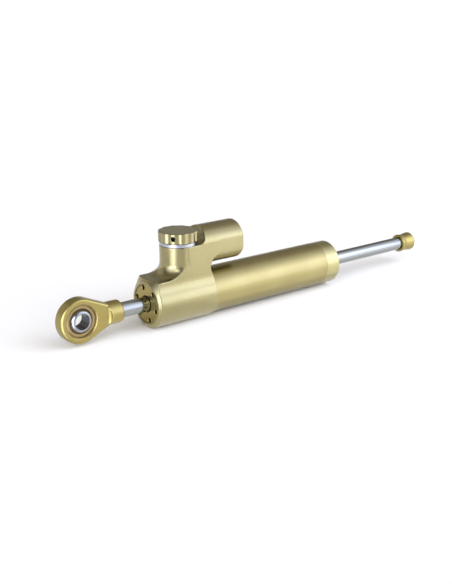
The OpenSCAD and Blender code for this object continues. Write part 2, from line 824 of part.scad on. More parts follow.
// End cap: a band, a thread ring in the tube and a nose in the inner cylinder
module rear_end_cap() {
    thread_r = tube_bore / 2 + cap_thread_t;
    band_r = tube_r - fixed_play;
    color(GOLD) difference() {
        union() {
            bar_x(cap_x + fixed_play, cap_len - cap_edge - fixed_play, band_r);
            cone_x(rear_x - cap_edge, cap_edge, band_r, band_r - cap_edge);
            sleeve_x(cap_x - cap_thread, cap_thread + cut, tube_bore / 2, thread_r);
            bar_x(chamber_x1, nose_len + cut, cylinder_bore / 2 - fixed_play);
        }
        at_rear_gland() gland_bores(cap_len + nose_len);
    }
}

module rear_bush() {
    color(BRONZE) at_rear_gland() bush();
}

module rear_rod_seal() {
    color(RUBBER) at_rear_gland() rod_seal();
}

module rear_wiper() {
    color(RUBBER) at_rear_gland() wiper();
}

// Silver ring between tower and knob, with a hole for the detent ball
module index_ring() {
    color(STEEL) on_tower() difference() {
        sleeve_z(tower_z, index_t, cart_r - cut, index_d / 2);
        translate([0, click_r, tower_z - cut])
            cylinder(h = index_t + 2 * cut, r = click_d / 2 + running_play);
    }
}

// Fluted knob with a track and click dimples on its underside
module adjuster_knob() {
    r = knob_d / 2;
    track_r = click_d / 2 + running_play;
    color(GOLD) on_tower() difference() {
        union() {
            translate([0, 0, knob_z]) cylinder(h = knob_h - knob_edge, r = r);
            translate([0, 0, knob_top_z - knob_edge]) cylinder(h = knob_edge, r1 = r, r2 = r - knob_edge);
        }
        for (i = [0 : flute_n - 1]) rotate([0, 0, screw_turn + 360 * (i + 0.5) / flute_n])
            translate([r + flute_r - flute_depth, 0, knob_z - cut])
                cylinder(h = knob_h + 2 * cut, r = flute_r);
        translate([0, 0, knob_z - cut]) cylinder(h = shaft_reach + cut, r = shaft_d / 2 + fixed_play);
        rotate([0, 0, screw_turn]) translate([0, 0, screw_z]) bar_x(0, knob_d, screw_d / 2);
        torus_z(click_z, click_r, track_r);
        for (i = [0 : click_n - 1]) rotate([0, 0, 90 + 360 * i / click_n])
            translate([click_r, 0, click_z + click_rise]) sphere(r = track_r);
    }
}

// Grub screw with a hexagon socket, against the spindle's shaft
module knob_set_screw() {
    socket_depth = screw_len / 2;
    color(STEEL) on_tower() rotate([0, 0, screw_turn])
        translate([shaft_d / 2 + fixed_play, 0, screw_z]) difference() {
            bar_x(0, screw_len, screw_d / 2 - fixed_play);
            translate([screw_len - socket_depth, 0, 0]) rotate([0, 90, 0])
                cylinder(h = socket_depth + cut, r = screw_d / 2 / sqrt(3), $fn = 6);
        }
}

// Keyed stem of the needle, or its way in the cartridge when play is given
module needle_key(z, h, play) {
    w = key_w + 2 * play;
    translate([0, 0, z]) intersection() {
        cylinder(h = h, r = key_d / 2 + play);
        translate([-key_d, -w / 2, 0]) cube([2 * key_d, w, h]);
    }
}

// Valve body: needle chamber with cross ports, keyed way and spindle bore
module adjuster_cartridge() {
    chamber_r = cart_r / 2;
    bore_r = spindle_d / 2 + running_play;
    color(STEEL) on_tower() difference() {
        translate([0, 0, seat_z1]) cylinder(h = tower_z - seat_z1, r = cart_r);
        translate([0, 0, seat_z1 - cut])
            cylinder(h = guide_z - seat_z1 + cut - needle_travel, r = chamber_r);
        for (turn = [0 : 90 : 270]) rotate([0, 0, turn]) translate([0, 0, seat_z1 + port_d / 2])
            bar_x(0, cart_d, port_d / 4);
        sleeve_z(seat_z1 + port_d / 4, port_d / 2, cart_r - small_cord_d, cart_r + cut);
        needle_key(seat_z1, spindle_z - seat_z1 + cut, running_play);
        translate([0, 0, spindle_z - running_play]) cylinder(h = tower_z, r = bore_r);
        translate([0, 0, spindle_clip_z]) cylinder(h = small_cord_d, r = bore_r + small_cord_d / 2);
        sleeve_z(guide_z + small_cord_d, cord_d + 2 * fixed_play,
            cart_r - cord_d - fixed_play, cart_r + cut);
    }
}

module cartridge_o_ring() {
    color(RUBBER) on_tower()
        torus_z(guide_z + small_cord_d + cord_d / 2 + fixed_play, cart_r - cord_d / 2, cord_d / 2);
}

// Metering orifice under the cartridge
module needle_seat() {
    mouth = orifice_d / 4;
    color(BRONZE) on_tower() difference() {
        translate([0, 0, cart_z0 + fixed_play])
            cylinder(h = seat_t - 2 * fixed_play, r = cart_r - fixed_play);
        translate([0, 0, cart_z0 - cut]) cylinder(h = seat_t + 2 * cut, r = orifice_d / 2);
        translate([0, 0, seat_z1 - mouth])
            cylinder(h = mouth + cut, r1 = orifice_d / 2, r2 = orifice_d / 2 + mouth + cut);
    }
}

// Needle with a keyed stem, a threaded shank and a tapered tip
module adjuster_needle() {
    stem_z = guide_z + needle_travel;
    stem_h = spindle_z - guide_z - 2 * needle_travel - 2 * running_play;
    tip_z = seat_z1 + needle_travel - orifice_d / 2;
    color(STEEL) on_tower() {
        translate([0, 0, tip_z]) cylinder(h = tip_h, r1 = orifice_d / 6, r2 = needle_d / 2);
        translate([0, 0, tip_z + tip_h])
            cylinder(h = shoulder_z - needle_travel - tip_z - tip_h, r = needle_d / 2);
        needle_key(stem_z, stem_h, 0);
    }
}

// Spindle that carries the knob and holds the needle's thread
module adjuster_spindle() {
    groove_z = spindle_z + spindle_h / 2;
    top_z = knob_z + shaft_reach - fixed_play;
    color(STEEL) on_tower() difference() {
        union() {
            translate([0, 0, spindle_z]) cylinder(h = spindle_h, r = spindle_d / 2);
            translate([0, 0, spindle_z]) cylinder(h = top_z - spindle_z, r = shaft_d / 2);
        }
        translate([0, 0, spindle_z - cut])
            cylinder(h = spindle_h + 2 * needle_travel + cut, r = needle_d / 2 + running_play);
        sleeve_z(groove_z - small_cord_d / 2 - fixed_play, small_cord_d + 2 * fixed_play,
            spindle_d / 2 - small_cord_d, spindle_d / 2 + cut);
    }
}

module spindle_o_ring() {
    groove_z = spindle_z + spindle_h / 2;
    color(RUBBER) on_tower()
        torus_z(groove_z, spindle_d / 2 - small_cord_d / 2 + fixed_play, small_cord_d / 2);
}

// Ring that keeps the spindle in its bore
module spindle_circlip() {
    color(STEEL) on_tower() difference() {
        sleeve_z(spindle_clip_z + fixed_play, small_cord_d - 2 * fixed_play, shaft_d / 2 + 2 * running_play,
            spindle_d / 2 + small_cord_d / 2);
        translate([0, -small_cord_d, spindle_clip_z - cut])
            cube([spindle_d, 2 * small_cord_d, small_cord_d + 2 * cut]);
    }
}

module detent_ball() {
    color(CHROME) on_tower() translate([0, click_r, click_z]) sphere(r = click_d / 2);
}

module detent_spring() {
    wire_r = click_wire / 2;
    z0 = tower_z - click_depth;
    color(STEEL) on_tower() translate([0, click_r, z0]) rotate([0, -90, 0])
        coil_x(click_z - click_d / 2 - z0 + wire_r / 2, click_d / 2 - wire_r - fixed_play, wire_r,
            click_turns, 14, 6);
}

float_x = barrel_in_x + float_gap;
plug_x1 = barrel_end_x - plug_lip - plug_clip_t - 3 * fixed_play;
plug_x0 = plug_x1 - plug_len;

// Volume compensator: piston, O-ring and spring in the reservoir barrel
module floating_piston() {
    r = barrel_bore / 2 - running_play;
    color(STEEL) on_barrel() difference() {
        bar_x(float_x, float_len, r);
        bar_x(float_x + float_floor, float_len, r - float_wall);
        cord_groove_x(float_x + float_floor / 2, barrel_bore / 2, cord_d);
    }
}

module floating_o_ring() {
    color(RUBBER) on_barrel()
        torus_x(float_x + float_floor / 2, outer_cord_r(barrel_bore / 2, cord_d), cord_d / 2);
}

module reservoir_spring() {
    x0 = float_x + float_floor + fixed_play;
    color(STEEL) on_barrel() translate([x0, 0, 0])
        coil_x(plug_x0 - fixed_play - x0, float_coil_d / 2, float_wire / 2, float_turns);
}

module reservoir_plug() {
    r = barrel_bore / 2 - fixed_play;
    color(GOLD) on_barrel() difference() {
        bar_x(plug_x0, plug_len, r);
        bar_x(plug_x1 - dish_depth, dish_depth + cut, dish_d / 2);
        cord_groove_x(plug_x0 + plug_len / 2, barrel_bore / 2, cord_d);
    }
}

module plug_o_ring() {
    color(RUBBER) on_barrel()
        torus_x(plug_x0 + plug_len / 2, outer_cord_r(barrel_bore / 2, cord_d), cord_d / 2);
}

module plug_circlip() {
    r = barrel_bore / 2 + plug_clip_depth - fixed_play;
    color(STEEL) on_barrel()
        clip_x(plug_x1 + 2 * fixed_play, plug_clip_t, r - 4 * plug_clip_depth, r, barrel_bore / 3);
}

rod_end_housing();
bearing_race();
bearing_liner();
bearing_ball();
piston_rod();
rod_stopper();
piston();
piston_ring();
piston_circlips();
head_block();
front_gland();
front_bush();
front_rod_seal();
front_wiper();
gland_o_ring();
outer_tube();
tube_o_ring();
inner_cylinder();
cylinder_o_ring();
rear_end_cap();
rear_bush();
rear_rod_seal();
rear_wiper();
cap_o_ring();
index_ring();
adjuster_knob();
knob_set_screw();
adjuster_cartridge();
cartridge_o_ring();
needle_seat();
adjuster_needle();
adjuster_spindle();
spindle_o_ring();
spindle_circlip();
detent_ball();
detent_spring();
floating_piston();
floating_o_ring();
reservoir_spring();
reservoir_plug();
plug_o_ring();
plug_circlip();
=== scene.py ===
"""Looks of a linear steering damper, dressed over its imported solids.

Pieces that are round about one axis are turned from a rounded profile, and a spring is a wire carried
along a screw line. Pieces that mix rounds, flats and bores are meshed from a distance field. Every piece
keeps the place of its solid, and all sizes are in millimetres until a mesh is made.
"""

import json
import logging
import math
from dataclasses import dataclass, replace
from enum import Enum
from typing import Any, Callable, Sequence

import bpy
import numpy as np
from mathutils import Matrix, Vector

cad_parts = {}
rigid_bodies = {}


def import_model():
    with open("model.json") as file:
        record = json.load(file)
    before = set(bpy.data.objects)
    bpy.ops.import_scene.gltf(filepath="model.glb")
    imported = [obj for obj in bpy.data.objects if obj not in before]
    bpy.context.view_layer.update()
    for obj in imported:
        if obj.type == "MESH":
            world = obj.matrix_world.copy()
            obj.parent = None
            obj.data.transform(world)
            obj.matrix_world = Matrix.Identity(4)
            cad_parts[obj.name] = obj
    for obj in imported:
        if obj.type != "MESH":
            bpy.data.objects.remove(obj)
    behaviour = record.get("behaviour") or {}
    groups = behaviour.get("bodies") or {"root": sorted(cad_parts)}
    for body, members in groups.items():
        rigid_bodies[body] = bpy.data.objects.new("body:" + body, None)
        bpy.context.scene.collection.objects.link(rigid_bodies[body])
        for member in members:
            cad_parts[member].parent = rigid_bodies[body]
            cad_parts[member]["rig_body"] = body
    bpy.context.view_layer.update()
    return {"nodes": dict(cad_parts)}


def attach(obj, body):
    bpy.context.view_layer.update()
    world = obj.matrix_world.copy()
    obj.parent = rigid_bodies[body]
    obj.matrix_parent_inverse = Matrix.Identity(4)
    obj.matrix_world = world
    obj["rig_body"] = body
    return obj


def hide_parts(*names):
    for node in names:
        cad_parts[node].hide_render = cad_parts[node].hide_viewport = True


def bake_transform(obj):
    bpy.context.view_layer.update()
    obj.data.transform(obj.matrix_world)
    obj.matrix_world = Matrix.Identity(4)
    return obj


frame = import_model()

log = logging.getLogger("steering_damper")

Array = np.ndarray
Field = Callable[[Array, Array, Array], Array]
Triple = tuple[float, float, float]

MM = 0.001
# Points that are nearer to each other than this, in millimetres, are one.
SAME_POINT = 1e-4
# Points on a rounded corner or tip, along one turn of a coil, and around its wire.
ARC_STEPS, COIL_STEPS, WIRE_SIDES = 7, 48, 24
# Cell sizes of the grids for small and for large forms, and the room left around a form, in millimetres.
FINE_GRID, BROAD_GRID, MARGIN = 0.2, 0.37, 1.0
# Times that a vertex moves towards its surface, and the reach over which a slope is taken, in millimetres.
SETTLE_MOVES, SLOPE_REACH = 3, 0.02
# The middle part of a noise's range, which is spread over the whole change of tone or of roughness.
TONE_SPAN, GRAIN_SPAN = (0.3, 0.7), (0.25, 0.75)
# Watts to the square metre at which a lamp's face shows as 1.
FACE_POWER = 4.0


class Axis(Enum):
    """An axis that a piece is turned about."""

    X = 0
    Y = 1
    Z = 2


class Mark(Enum):
    """The way the fine marks of a surface run, as scales along the piece's axis and across it."""

    TURNED = (1.0, 0.004)
    BLASTED = (1.0, 1.0)
    DRAWN = (0.03, 1.0)


@dataclass
class Skin:
    """One closed surface in millimetres.

    Attributes:
        points: One row per vertex.
        normals: Outward unit normal of each vertex.
        faces: Corner numbers, four to a row.
        caps: Corner numbers of the triangles around a pole, three to a row.
    """

    points: Array
    normals: Array
    faces: Array
    caps: Array


@dataclass
class Profile:
    """A line of points (along the axis, away from it) with the outward normal at each.

    Attributes:
        points: One row per point.
        normals: One row per point.
        closed: True where the line is a loop, False where it runs from pole to pole.
    """

    points: Array
    normals: Array
    closed: bool


def rounded_profile(corners: Sequence[Triple], closed: bool = True) -> Profile:
    """Rounds the corners of a line, walked with the outside on its left.

    Each corner becomes an arc of its own radius that touches both neighbouring edges, and the
    normals turn with the arc from one edge's normal to the next edge's.

    Args:
        corners: (along, away, rounding) of each corner.
        closed: Whether the last corner joins the first.

    Returns:
        The rounded line.
    """
    table = np.array(corners, float)
    at, radius = table[:, :2], table[:, 2:]
    before, after = np.roll(at, 1, 0), np.roll(at, -1, 0)
    if not closed:
        before[0], after[-1] = 2 * at[0] - at[1], 2 * at[-1] - at[-2]
    incoming, outgoing = at - before, after - at
    incoming /= np.linalg.norm(incoming, axis=1, keepdims=True)
    outgoing /= np.linalg.norm(outgoing, axis=1, keepdims=True)
    normal_in = np.stack([-incoming[:, 1], incoming[:, 0]], 1)
    normal_out = np.stack([-outgoing[:, 1], outgoing[:, 0]], 1)
    cross = incoming[:, 0] * outgoing[:, 1] - incoming[:, 1] * outgoing[:, 0]
    dot = (incoming * outgoing).sum(1)
    bend = np.arctan2(cross, dot)
    share = np.linspace(0.0, 1.0, ARC_STEPS)
    angle = np.arctan2(normal_in[:, 1], normal_in[:, 0])[:, None] + bend[:, None] * share
    normals = np.stack([np.cos(angle), np.sin(angle)], 2)
    side = np.where(bend < 0, 1.0, -1.0)[:, None] * radius
    middle = at - side * (normal_in + normal_out) / (1 + dot[:, None])
    points = middle[:, None] + side[:, None] * normals
    points, normals = points.reshape(-1, 2), normals.reshape(-1, 2)
    apart = np.linalg.norm(points - np.roll(points, 1, 0), axis=1) > SAME_POINT
    apart[0] = True
    return Profile(points[apart], normals[apart], closed)


def ringed(rings: Array, normals: Array, axis: Axis, loop: bool) -> Skin:
    """Joins rings of points into one closed surface.

    Args:
        rings: Points by ring, by place in the ring and by coordinate, the one along the axis first.
        normals: Their outward normals, in the same order.
        axis: The axis.
        loop: Whether the last ring joins the first. If not, the first and the last ring are poles.

    Returns:
        The closed surface.
    """
    count, segments = rings.shape[:2]
    here = np.arange(count * segments).reshape(count, segments)
    beside = np.roll(here, -1, 1)
    caps = np.zeros((0, 3), int)
    if loop:
        ahead, ahead_beside = np.roll(here, -1, 0), np.roll(beside, -1, 0)
        faces = np.stack([here, beside, ahead_beside, ahead], 2).reshape(-1, 4)
    else:
        here[0], beside[0], here[-1], beside[-1] = here[0, 0], here[0, 0], here[-1, 0], here[-1, 0]
        faces = np.stack([here[1:-2], beside[1:-2], beside[2:-1], here[2:-1]], 2).reshape(-1, 4)
        first = np.stack([here[0], beside[1], here[1]], 1)
        last = np.stack([here[-2], beside[-2], here[-1]], 1)
        caps = np.concatenate([first, last])
    used, numbers = np.unique(np.concatenate([faces.ravel(), caps.ravel()]), return_inverse=True)
    faces, caps = numbers[:faces.size].reshape(-1, 4), numbers[faces.size:].reshape(-1, 3)
    points, turned = (np.roll(part.reshape(-1, 3)[used], axis.value, 1) for part in (rings, normals))
    return Skin(points, turned, faces, caps)


def lathe(profile: Profile, axis: Axis, segments: int = 160) -> Skin:
    """Turns a profile about an axis.

    A point a along the axis and r away from it becomes a ring: a along the axis, r cos t and
    r sin t across it, for t over one turn. A line that is not a loop ends in a pole at each end.

    Args:
        profile: The line to turn.
        axis: The axis to turn about, through the origin.
        segments: Points around.

    Returns:
        The closed surface.
    """
    turn = np.linspace(0.0, 2 * math.pi, segments, endpoint=False)
    circle = np.stack([np.ones(segments), np.cos(turn), np.sin(turn)], 1)
    rings, normals = (line[:, None, [0, 1, 1]] * circle for line in (profile.points, profile.normals))
    return ringed(rings, normals, axis, profile.closed)


def coil(axis: Axis, centre: Triple, length: float, coil_r: float, wire_r: float, turns: float) -> Skin:
    """Carries a round wire along a screw line.

    At the angle t the wire's middle is R cos t and R sin t across the axis, and rises evenly along it.
    A circle of the wire's radius stands around it, in the plane of the axis and the way out. At both
    ends the circle shrinks to nothing over a quarter of a round, so that the wire has round tips.

    Args:
        axis: The axis of the coil.
        centre: The point on the axis where the coil begins.
        length: Length of the coil over its wire.
        coil_r: Radius to the wire's middle.
        wire_r: Radius of the wire.
        turns: Number of turns.

    Returns:
        The closed surface.
    """
    tip = np.linspace(0.0, math.pi / 2, ARC_STEPS)
    sweep, tip_turn = 2 * math.pi * turns, wire_r / coil_r * (1 - np.cos(tip))
    middle = np.linspace(tip_turn[-1], sweep - tip_turn[-1], int(turns * COIL_STEPS))[1:-1]
    turn = np.concatenate([tip_turn, middle, sweep - tip_turn[::-1]])[:, None]
    full = np.concatenate([np.sin(tip), np.ones_like(middle), np.sin(tip[::-1])])[:, None]
    lean = np.concatenate([-np.cos(tip), np.zeros_like(middle), np.cos(tip[::-1])])[:, None]
    around = np.linspace(2 * math.pi, 0.0, WIRE_SIDES, endpoint=False)
    out, up = full * np.cos(around), full * np.sin(around)
    along = wire_r + (length - 2 * wire_r) * turn / sweep + wire_r * up
    away = coil_r + wire_r * out
    cosine, sine = np.cos(turn), np.sin(turn)
    rings = np.stack([along, away * cosine, away * sine], 2)
    normals = np.stack([up, out * cosine - lean * sine, out * sine + lean * cosine], 2)
    skin = ringed(rings, normals, axis, False)
    return replace(skin, points=skin.points + np.array(centre))


def join(a: Array, b: Array, radius: float) -> Array:
    """Distance to two forms as one, with a hollow fillet of that radius where they meet."""
    gap = np.hypot(np.maximum(radius - a, 0), np.maximum(radius - b, 0))
    return np.maximum(radius, np.minimum(a, b)) - gap


def common(a: Array, b: Array, radius: float) -> Array:
    """Distance to what two forms share, with the edge between them rounded to that radius."""
    gap = np.hypot(np.maximum(radius + a, 0), np.maximum(radius + b, 0))
    return np.minimum(-radius, np.maximum(a, b)) + gap


def cut(a: Array, b: Array, radius: float) -> Array:
    """Distance to form a less form b, with the edge between them rounded to that radius."""
    return common(a, -b, radius)


def fold(across: Array, up: Array, count: int, start: float) -> tuple[Array, Array]:
    """Folds a plane's points into one sector, so that one feature in it stands for all.

    Args:
        across: First coordinate from the axis.
        up: Second coordinate from the axis.
        count: Number of equal sectors.
        start: Angle of the middle of one sector, in degrees.

    Returns:
        Each point's coordinates along the sector's middle line and across it.
    """
    sector = 2 * math.pi / count
    angle = np.arctan2(up, across) - math.radians(start)
    angle = np.mod(angle + sector / 2, sector) - sector / 2
    radius = np.hypot(across, up)
    return radius * np.cos(angle), radius * np.sin(angle)


def slopes(shape: Field, points: Array) -> Array:
    """Gradient of a distance field, from central differences over a short reach.

    Args:
        shape: The field.
        points: One row per point.

    Returns:
        The gradient at each point, in the same order.
    """
    found = np.empty_like(points)
    for axis in Axis:
        offset = np.zeros(3)
        offset[axis.value] = SLOPE_REACH
        rise = shape(*(points + offset).T) - shape(*(points - offset).T)
        found[:, axis.value] = rise / (2 * SLOPE_REACH)
    return found


def net(shape: Field, low: Triple, high: Triple, step: float) -> Skin:
    """Meshes the zero surface of a distance field.

    The field is sampled on a grid. Each cell with corners on both sides of the surface gets one
    vertex at the mean of its edge crossings, which then moves along the field's gradient onto the
    surface. Each grid edge that crosses the surface gets one face through the four cells around it.

    Args:
        shape: Distance to the form, below zero inside.
        low: Lowest corner of the grid, outside the form.
        high: Highest corner of the grid, outside the form.
        step: Size of a cell.

    Returns:
        The closed surface.
    """
    lines = [np.arange(a, b + step, step) for a, b in zip(low, high)]
    value = shape(*np.meshgrid(*lines, indexing="ij", sparse=True))
    inside = value < 0
    corners = np.array([(i, j, k) for i in (0, 1) for j in (0, 1) for k in (0, 1)])
    cells = np.array(value.shape) - 1

    def corner(of: Array, offset: Array) -> Array:
        """The values at one corner of every cell."""
        return of[tuple(slice(o, o + n) for o, n in zip(offset, cells))]

    filled = sum(corner(inside, offset).astype(np.int8) for offset in corners)
    active = (filled > 0) & (filled < len(corners))
    where = np.argwhere(active)
    numbers = np.full(active.shape, -1)
    numbers[active] = np.arange(len(where))
    total, crossings = np.zeros((len(where), 3)), np.zeros((len(where), 1))
    for start in corners:
        for axis in np.flatnonzero(start == 0):
            end = start.copy()
            end[axis] = 1
            a, b = (corner(value, offset)[active][:, None] for offset in (start, end))
            crosses = (a < 0) != (b < 0)
            share = np.where(crosses, a / np.where(crosses, a - b, 1.0), 0.0)
            total += np.where(crosses, start + share * (end - start), 0.0)
            crossings += crosses
    points = np.array(low) + step * (where + total / crossings)
    for _ in range(SETTLE_MOVES):
        slope = slopes(shape, points)
        move = shape(*points.T)[:, None] * slope / np.maximum((slope**2).sum(1, keepdims=True), 0.2)
        points -= np.clip(move, -step / 2, step / 2)
    slope = slopes(shape, points)
    normals = slope / np.maximum(np.linalg.norm(slope, axis=1, keepdims=True), 1e-6)
    faces = []
    for axis in Axis:
        one, two = (axis.value + 1) % 3, (axis.value + 2) % 3
        first, second = (
            np.moveaxis(inside, (axis.value, one, two), (0, 1, 2))[part, 1:-1, 1:-1]
            for part in (slice(0, -1), slice(1, None))
        )
        around = np.moveaxis(numbers, (axis.value, one, two), (0, 1, 2))
        quads = np.stack([
            around[:, :-1, :-1], around[:, 1:, :-1], around[:, 1:, 1:], around[:, :-1, 1:]], 3)
        faces += [quads[first & ~second], quads[second & ~first][:, ::-1]]
    return Skin(points, normals, np.concatenate(faces), np.zeros((0, 3), int))


def linear(code: str) -> tuple[float, float, float, float]:
    """Turns an sRGB colour to a linear one.

    Args:
        code: Hex code such as "#c0a060".

    Returns:
        Red, green, blue and an opaque alpha.
    """
    parts = np.array([int(code[i:i + 2], 16) / 255 for i in (1, 3, 5)])
    low, high = parts / 12.92, ((parts + 0.055) / 1.055) ** 2.4
    return (*np.where(parts <= 0.04045, low, high).tolist(), 1.0)


def add(tree: bpy.types.NodeTree, kind: str, inputs: dict[Any, Any] | None = None,
        **settings: Any) -> bpy.types.Node:
    """Adds a node, gives it its settings, and sets or links its inputs.

    Args:
        tree: The tree to add to.
        kind: Type of the node.
        inputs: Value, or socket to link from, for each input by name or number.
        **settings: Properties of the node.

    Returns:
        The node.
    """
    made = tree.nodes.new(kind)
    for name, value in settings.items():
        setattr(made, name, value)
    for key, value in (inputs or {}).items():
        if isinstance(value, bpy.types.NodeSocket):
            tree.links.new(value, made.inputs[key])
        else:
            made.inputs[key].default_value = value
    return made


@dataclass(frozen=True)
class Finish:
    """A surface finish.

    Attributes:
        title: What the surface is.
        colour: sRGB colour where it is cleanest.
        worn: sRGB colour where it is dullest.
        metallic: 1 for uncoated or plated metal, 0 for rubber and plastic.
        roughness: Mean roughness.
        spread: How far the roughness varies about its mean.
        mark: The way the fine marks run.
        grain: Size of the fine marks, in millimetres.
        depth: Height of the fine marks, in millimetres.
        patch: Size of the slow changes of tone, in millimetres.
        bore: Radius about the axis within which the colour is painted dark grey as shade, in millimetres.
        bore_colour: sRGB colour of that painted shade.
        coat: Share of the surface under a clear layer, as anodising leaves it.
    """

    title: str
    colour: str
    worn: str
    metallic: float
    roughness: float
    spread: float
    mark: Mark
    grain: float
    depth: float
    patch: float = 14.0
    bore: float = 0.0
    bore_colour: str = "#4b4b4e"
    coat: float = 0.0

    def material(self, axis: Axis) -> bpy.types.Material:
        """Makes the finish a material, or finds it if it is made.

        Args:
            axis: The axis of the piece that the marks are laid about.

        Returns:
            The material, on Object coordinates.
        """
        name = f"{self.title}_{axis.name.lower()}"
        found = bpy.data.materials.get(name)
        if found:
            return found
        made = bpy.data.materials.new(name)
        made.use_nodes = True
        tree = made.node_tree
        tree.nodes.clear()
        along, across = self.mark.value
        scale = [across / (self.grain * MM)] * 3
        scale[axis.value] = along / (self.grain * MM)
        place = add(tree, "ShaderNodeTexCoord").outputs["Object"]
        stretched = add(tree, "ShaderNodeVectorMath", {0: place, 1: scale}, operation="MULTIPLY").outputs[0]
        fine = add(tree, "ShaderNodeTexNoise", {"Vector": stretched, "Scale": 1.0, "Detail": 3.0}).outputs[0]
        slow = add(tree, "ShaderNodeTexNoise", {
            "Vector": place, "Scale": 1 / (self.patch * MM), "Detail": 2.0}).outputs[0]
        tone = add(tree, "ShaderNodeMapRange", {0: slow, 1: TONE_SPAN[0], 2: TONE_SPAN[1]}).outputs[0]
        colour = add(tree, "ShaderNodeMix", {
            0: tone, 6: linear(self.worn), 7: linear(self.colour)}, data_type="RGBA").outputs[2]
        rough = add(tree, "ShaderNodeMapRange", {
            0: fine, 1: GRAIN_SPAN[0], 2: GRAIN_SPAN[1],
            3: self.roughness - self.spread, 4: self.roughness + self.spread}).outputs[0]
        # Painted shade: within the bore's radius the colour is mixed to a dark grey that stands in for the
        # shade inside the bore.
        if self.bore:
            flat = [1.0, 1.0, 1.0]
            flat[axis.value] = 0.0
            aside = add(tree, "ShaderNodeVectorMath", {0: place, 1: flat}, operation="MULTIPLY").outputs[0]
            reach = add(tree, "ShaderNodeVectorMath", {0: aside}, operation="LENGTH").outputs["Value"]
            bore_shade = add(tree, "ShaderNodeMath", {
                0: reach, 1: self.bore * MM}, operation="LESS_THAN").outputs[0]
            colour = add(tree, "ShaderNodeMix", {
                0: bore_shade, 6: colour, 7: linear(self.bore_colour)}, data_type="RGBA").outputs[2]
        relief = add(tree, "ShaderNodeBump", {
            "Height": fine, "Strength": 1.0, "Distance": self.depth * MM}).outputs[0]
        shader = add(tree, "ShaderNodeBsdfPrincipled", {
            "Base Color": colour, "Metallic": self.metallic, "Roughness": rough, "Normal": relief,
            "Coat Weight": self.coat, "Coat Roughness": self.roughness, "Coat Normal": relief}).outputs[0]
        add(tree, "ShaderNodeOutputMaterial", {"Surface": shader})
        return made


# Marks finer than about a third of a millimetre would not show at this size, so grains are coarsened to that.

# Aluminium, bead blasted fine and anodised pale gold: a soft broad highlight, whitened by the clear layer.
SATIN_GOLD = Finish("satin_anodised_gold", "#968d63", "#91885c", 1.0, 0.29, 0.03,
                    Mark.BLASTED, 0.35, 0.0012, coat=0.45)
# Aluminium tube, turned and anodised: fine rings around it draw the highlight out along its length.
TURNED_GOLD = Finish("turned_anodised_gold", "#988d5c", "#928655", 1.0, 0.34, 0.03,
                     Mark.TURNED, 0.45, 0.0010, coat=0.3)
# The same metal in another batch of dye: a paler band with a tighter highlight.
BAND_GOLD = Finish("end_band_gold", "#a49c6d", "#9e9766", 1.0, 0.28, 0.04,
                   Mark.TURNED, 0.35, 0.0012, coat=0.3)
# Aluminium, faced on a lathe and anodised browner: darker, with rings around the rod.
GLAND_GOLD = Finish("brown_anodised_gold", "#a29354", "#988649", 1.0, 0.30, 0.05,
                    Mark.TURNED, 0.35, 0.0012, coat=0.3)
# Aluminium, bead blasted coarser and anodised deep gold: a dull yellow sheen without a clear reflection.
MATTE_GOLD = Finish("bead_blasted_gold", "#9d8f52", "#97884a", 1.0, 0.36, 0.04,
                    Mark.BLASTED, 0.40, 0.0030, coat=0.35)
# Ground and hard-chromed steel: an almost clear mirror, stretched along the rod.
CHROME = Finish("hard_chrome", "#969795", "#8e928f", 1.0, 0.13, 0.02, Mark.TURNED, 0.50, 0.0003)
# The same plating on the ball, with a dark grey painted inside the bore as shade.
BALL_CHROME = Finish("ball_chrome", "#969a9a", "#8f9394", 1.0, 0.13, 0.02,
                     Mark.TURNED, 0.50, 0.0003, bore=4.1)
# Turned bearing bronze: brown, with a soft ringed highlight.
BRONZE = Finish("turned_bronze", "#a38f64", "#938056", 1.0, 0.30, 0.05, Mark.TURNED, 0.30, 0.0015)
# Turned aluminium without dye: a bright grey line.
SILVER = Finish("turned_silver_aluminium", "#b0b4b8", "#a5a8ac", 1.0, 0.32, 0.05,
                Mark.TURNED, 0.35, 0.0015)
# Turned and ground steel: a darker grey than aluminium.
STEEL = Finish("machined_steel", "#94979b", "#86898d", 1.0, 0.30, 0.05, Mark.TURNED, 0.35, 0.0012)
# Drawn wire: streaks along it.
SPRING_STEEL = Finish("drawn_spring_steel", "#87898d", "#75777b", 1.0, 0.27, 0.05,
                      Mark.DRAWN, 0.30, 0.0010)
# Steel blackened in a hot bath: near black, with a dull sheen.
BLACK_STEEL = Finish("blackened_steel", "#4e4e52", "#404044", 1.0, 0.40, 0.05, Mark.BLASTED, 0.30, 0.0020)
# Moulded nitrile rubber: black and dull.
RUBBER = Finish("seal_rubber", "#26262a", "#1e1e21", 0.0, 0.55, 0.08, Mark.BLASTED, 0.35, 0.0040)
# Filled low-friction plastic: dark brown with a faint sheen.
POLYMER = Finish("sliding_polymer", "#4a4640", "#3b3833", 0.0, 0.42, 0.06, Mark.BLASTED, 0.30, 0.0020)
# Woven liner filled with bronze: dull brown between the ball and its ring.
LINER = Finish("bronze_filled_liner", "#7d6b47", "#6e5d3c", 0.6, 0.42, 0.06, Mark.BLASTED, 0.30, 0.0020)


def dress(node: str, finish: Finish, axis: Axis) -> None:
    """Gives a solid a finish on its material slots, and leaves its mesh alone.

    Args:
        node: The solid.
        finish: Its finish.
        axis: The axis its marks lie about.
    """
    for slot in frame["nodes"][node].material_slots:
        slot.link = "OBJECT"
        slot.material = finish.material(axis)
    log.info("dressed %s in %s", node, finish.title)


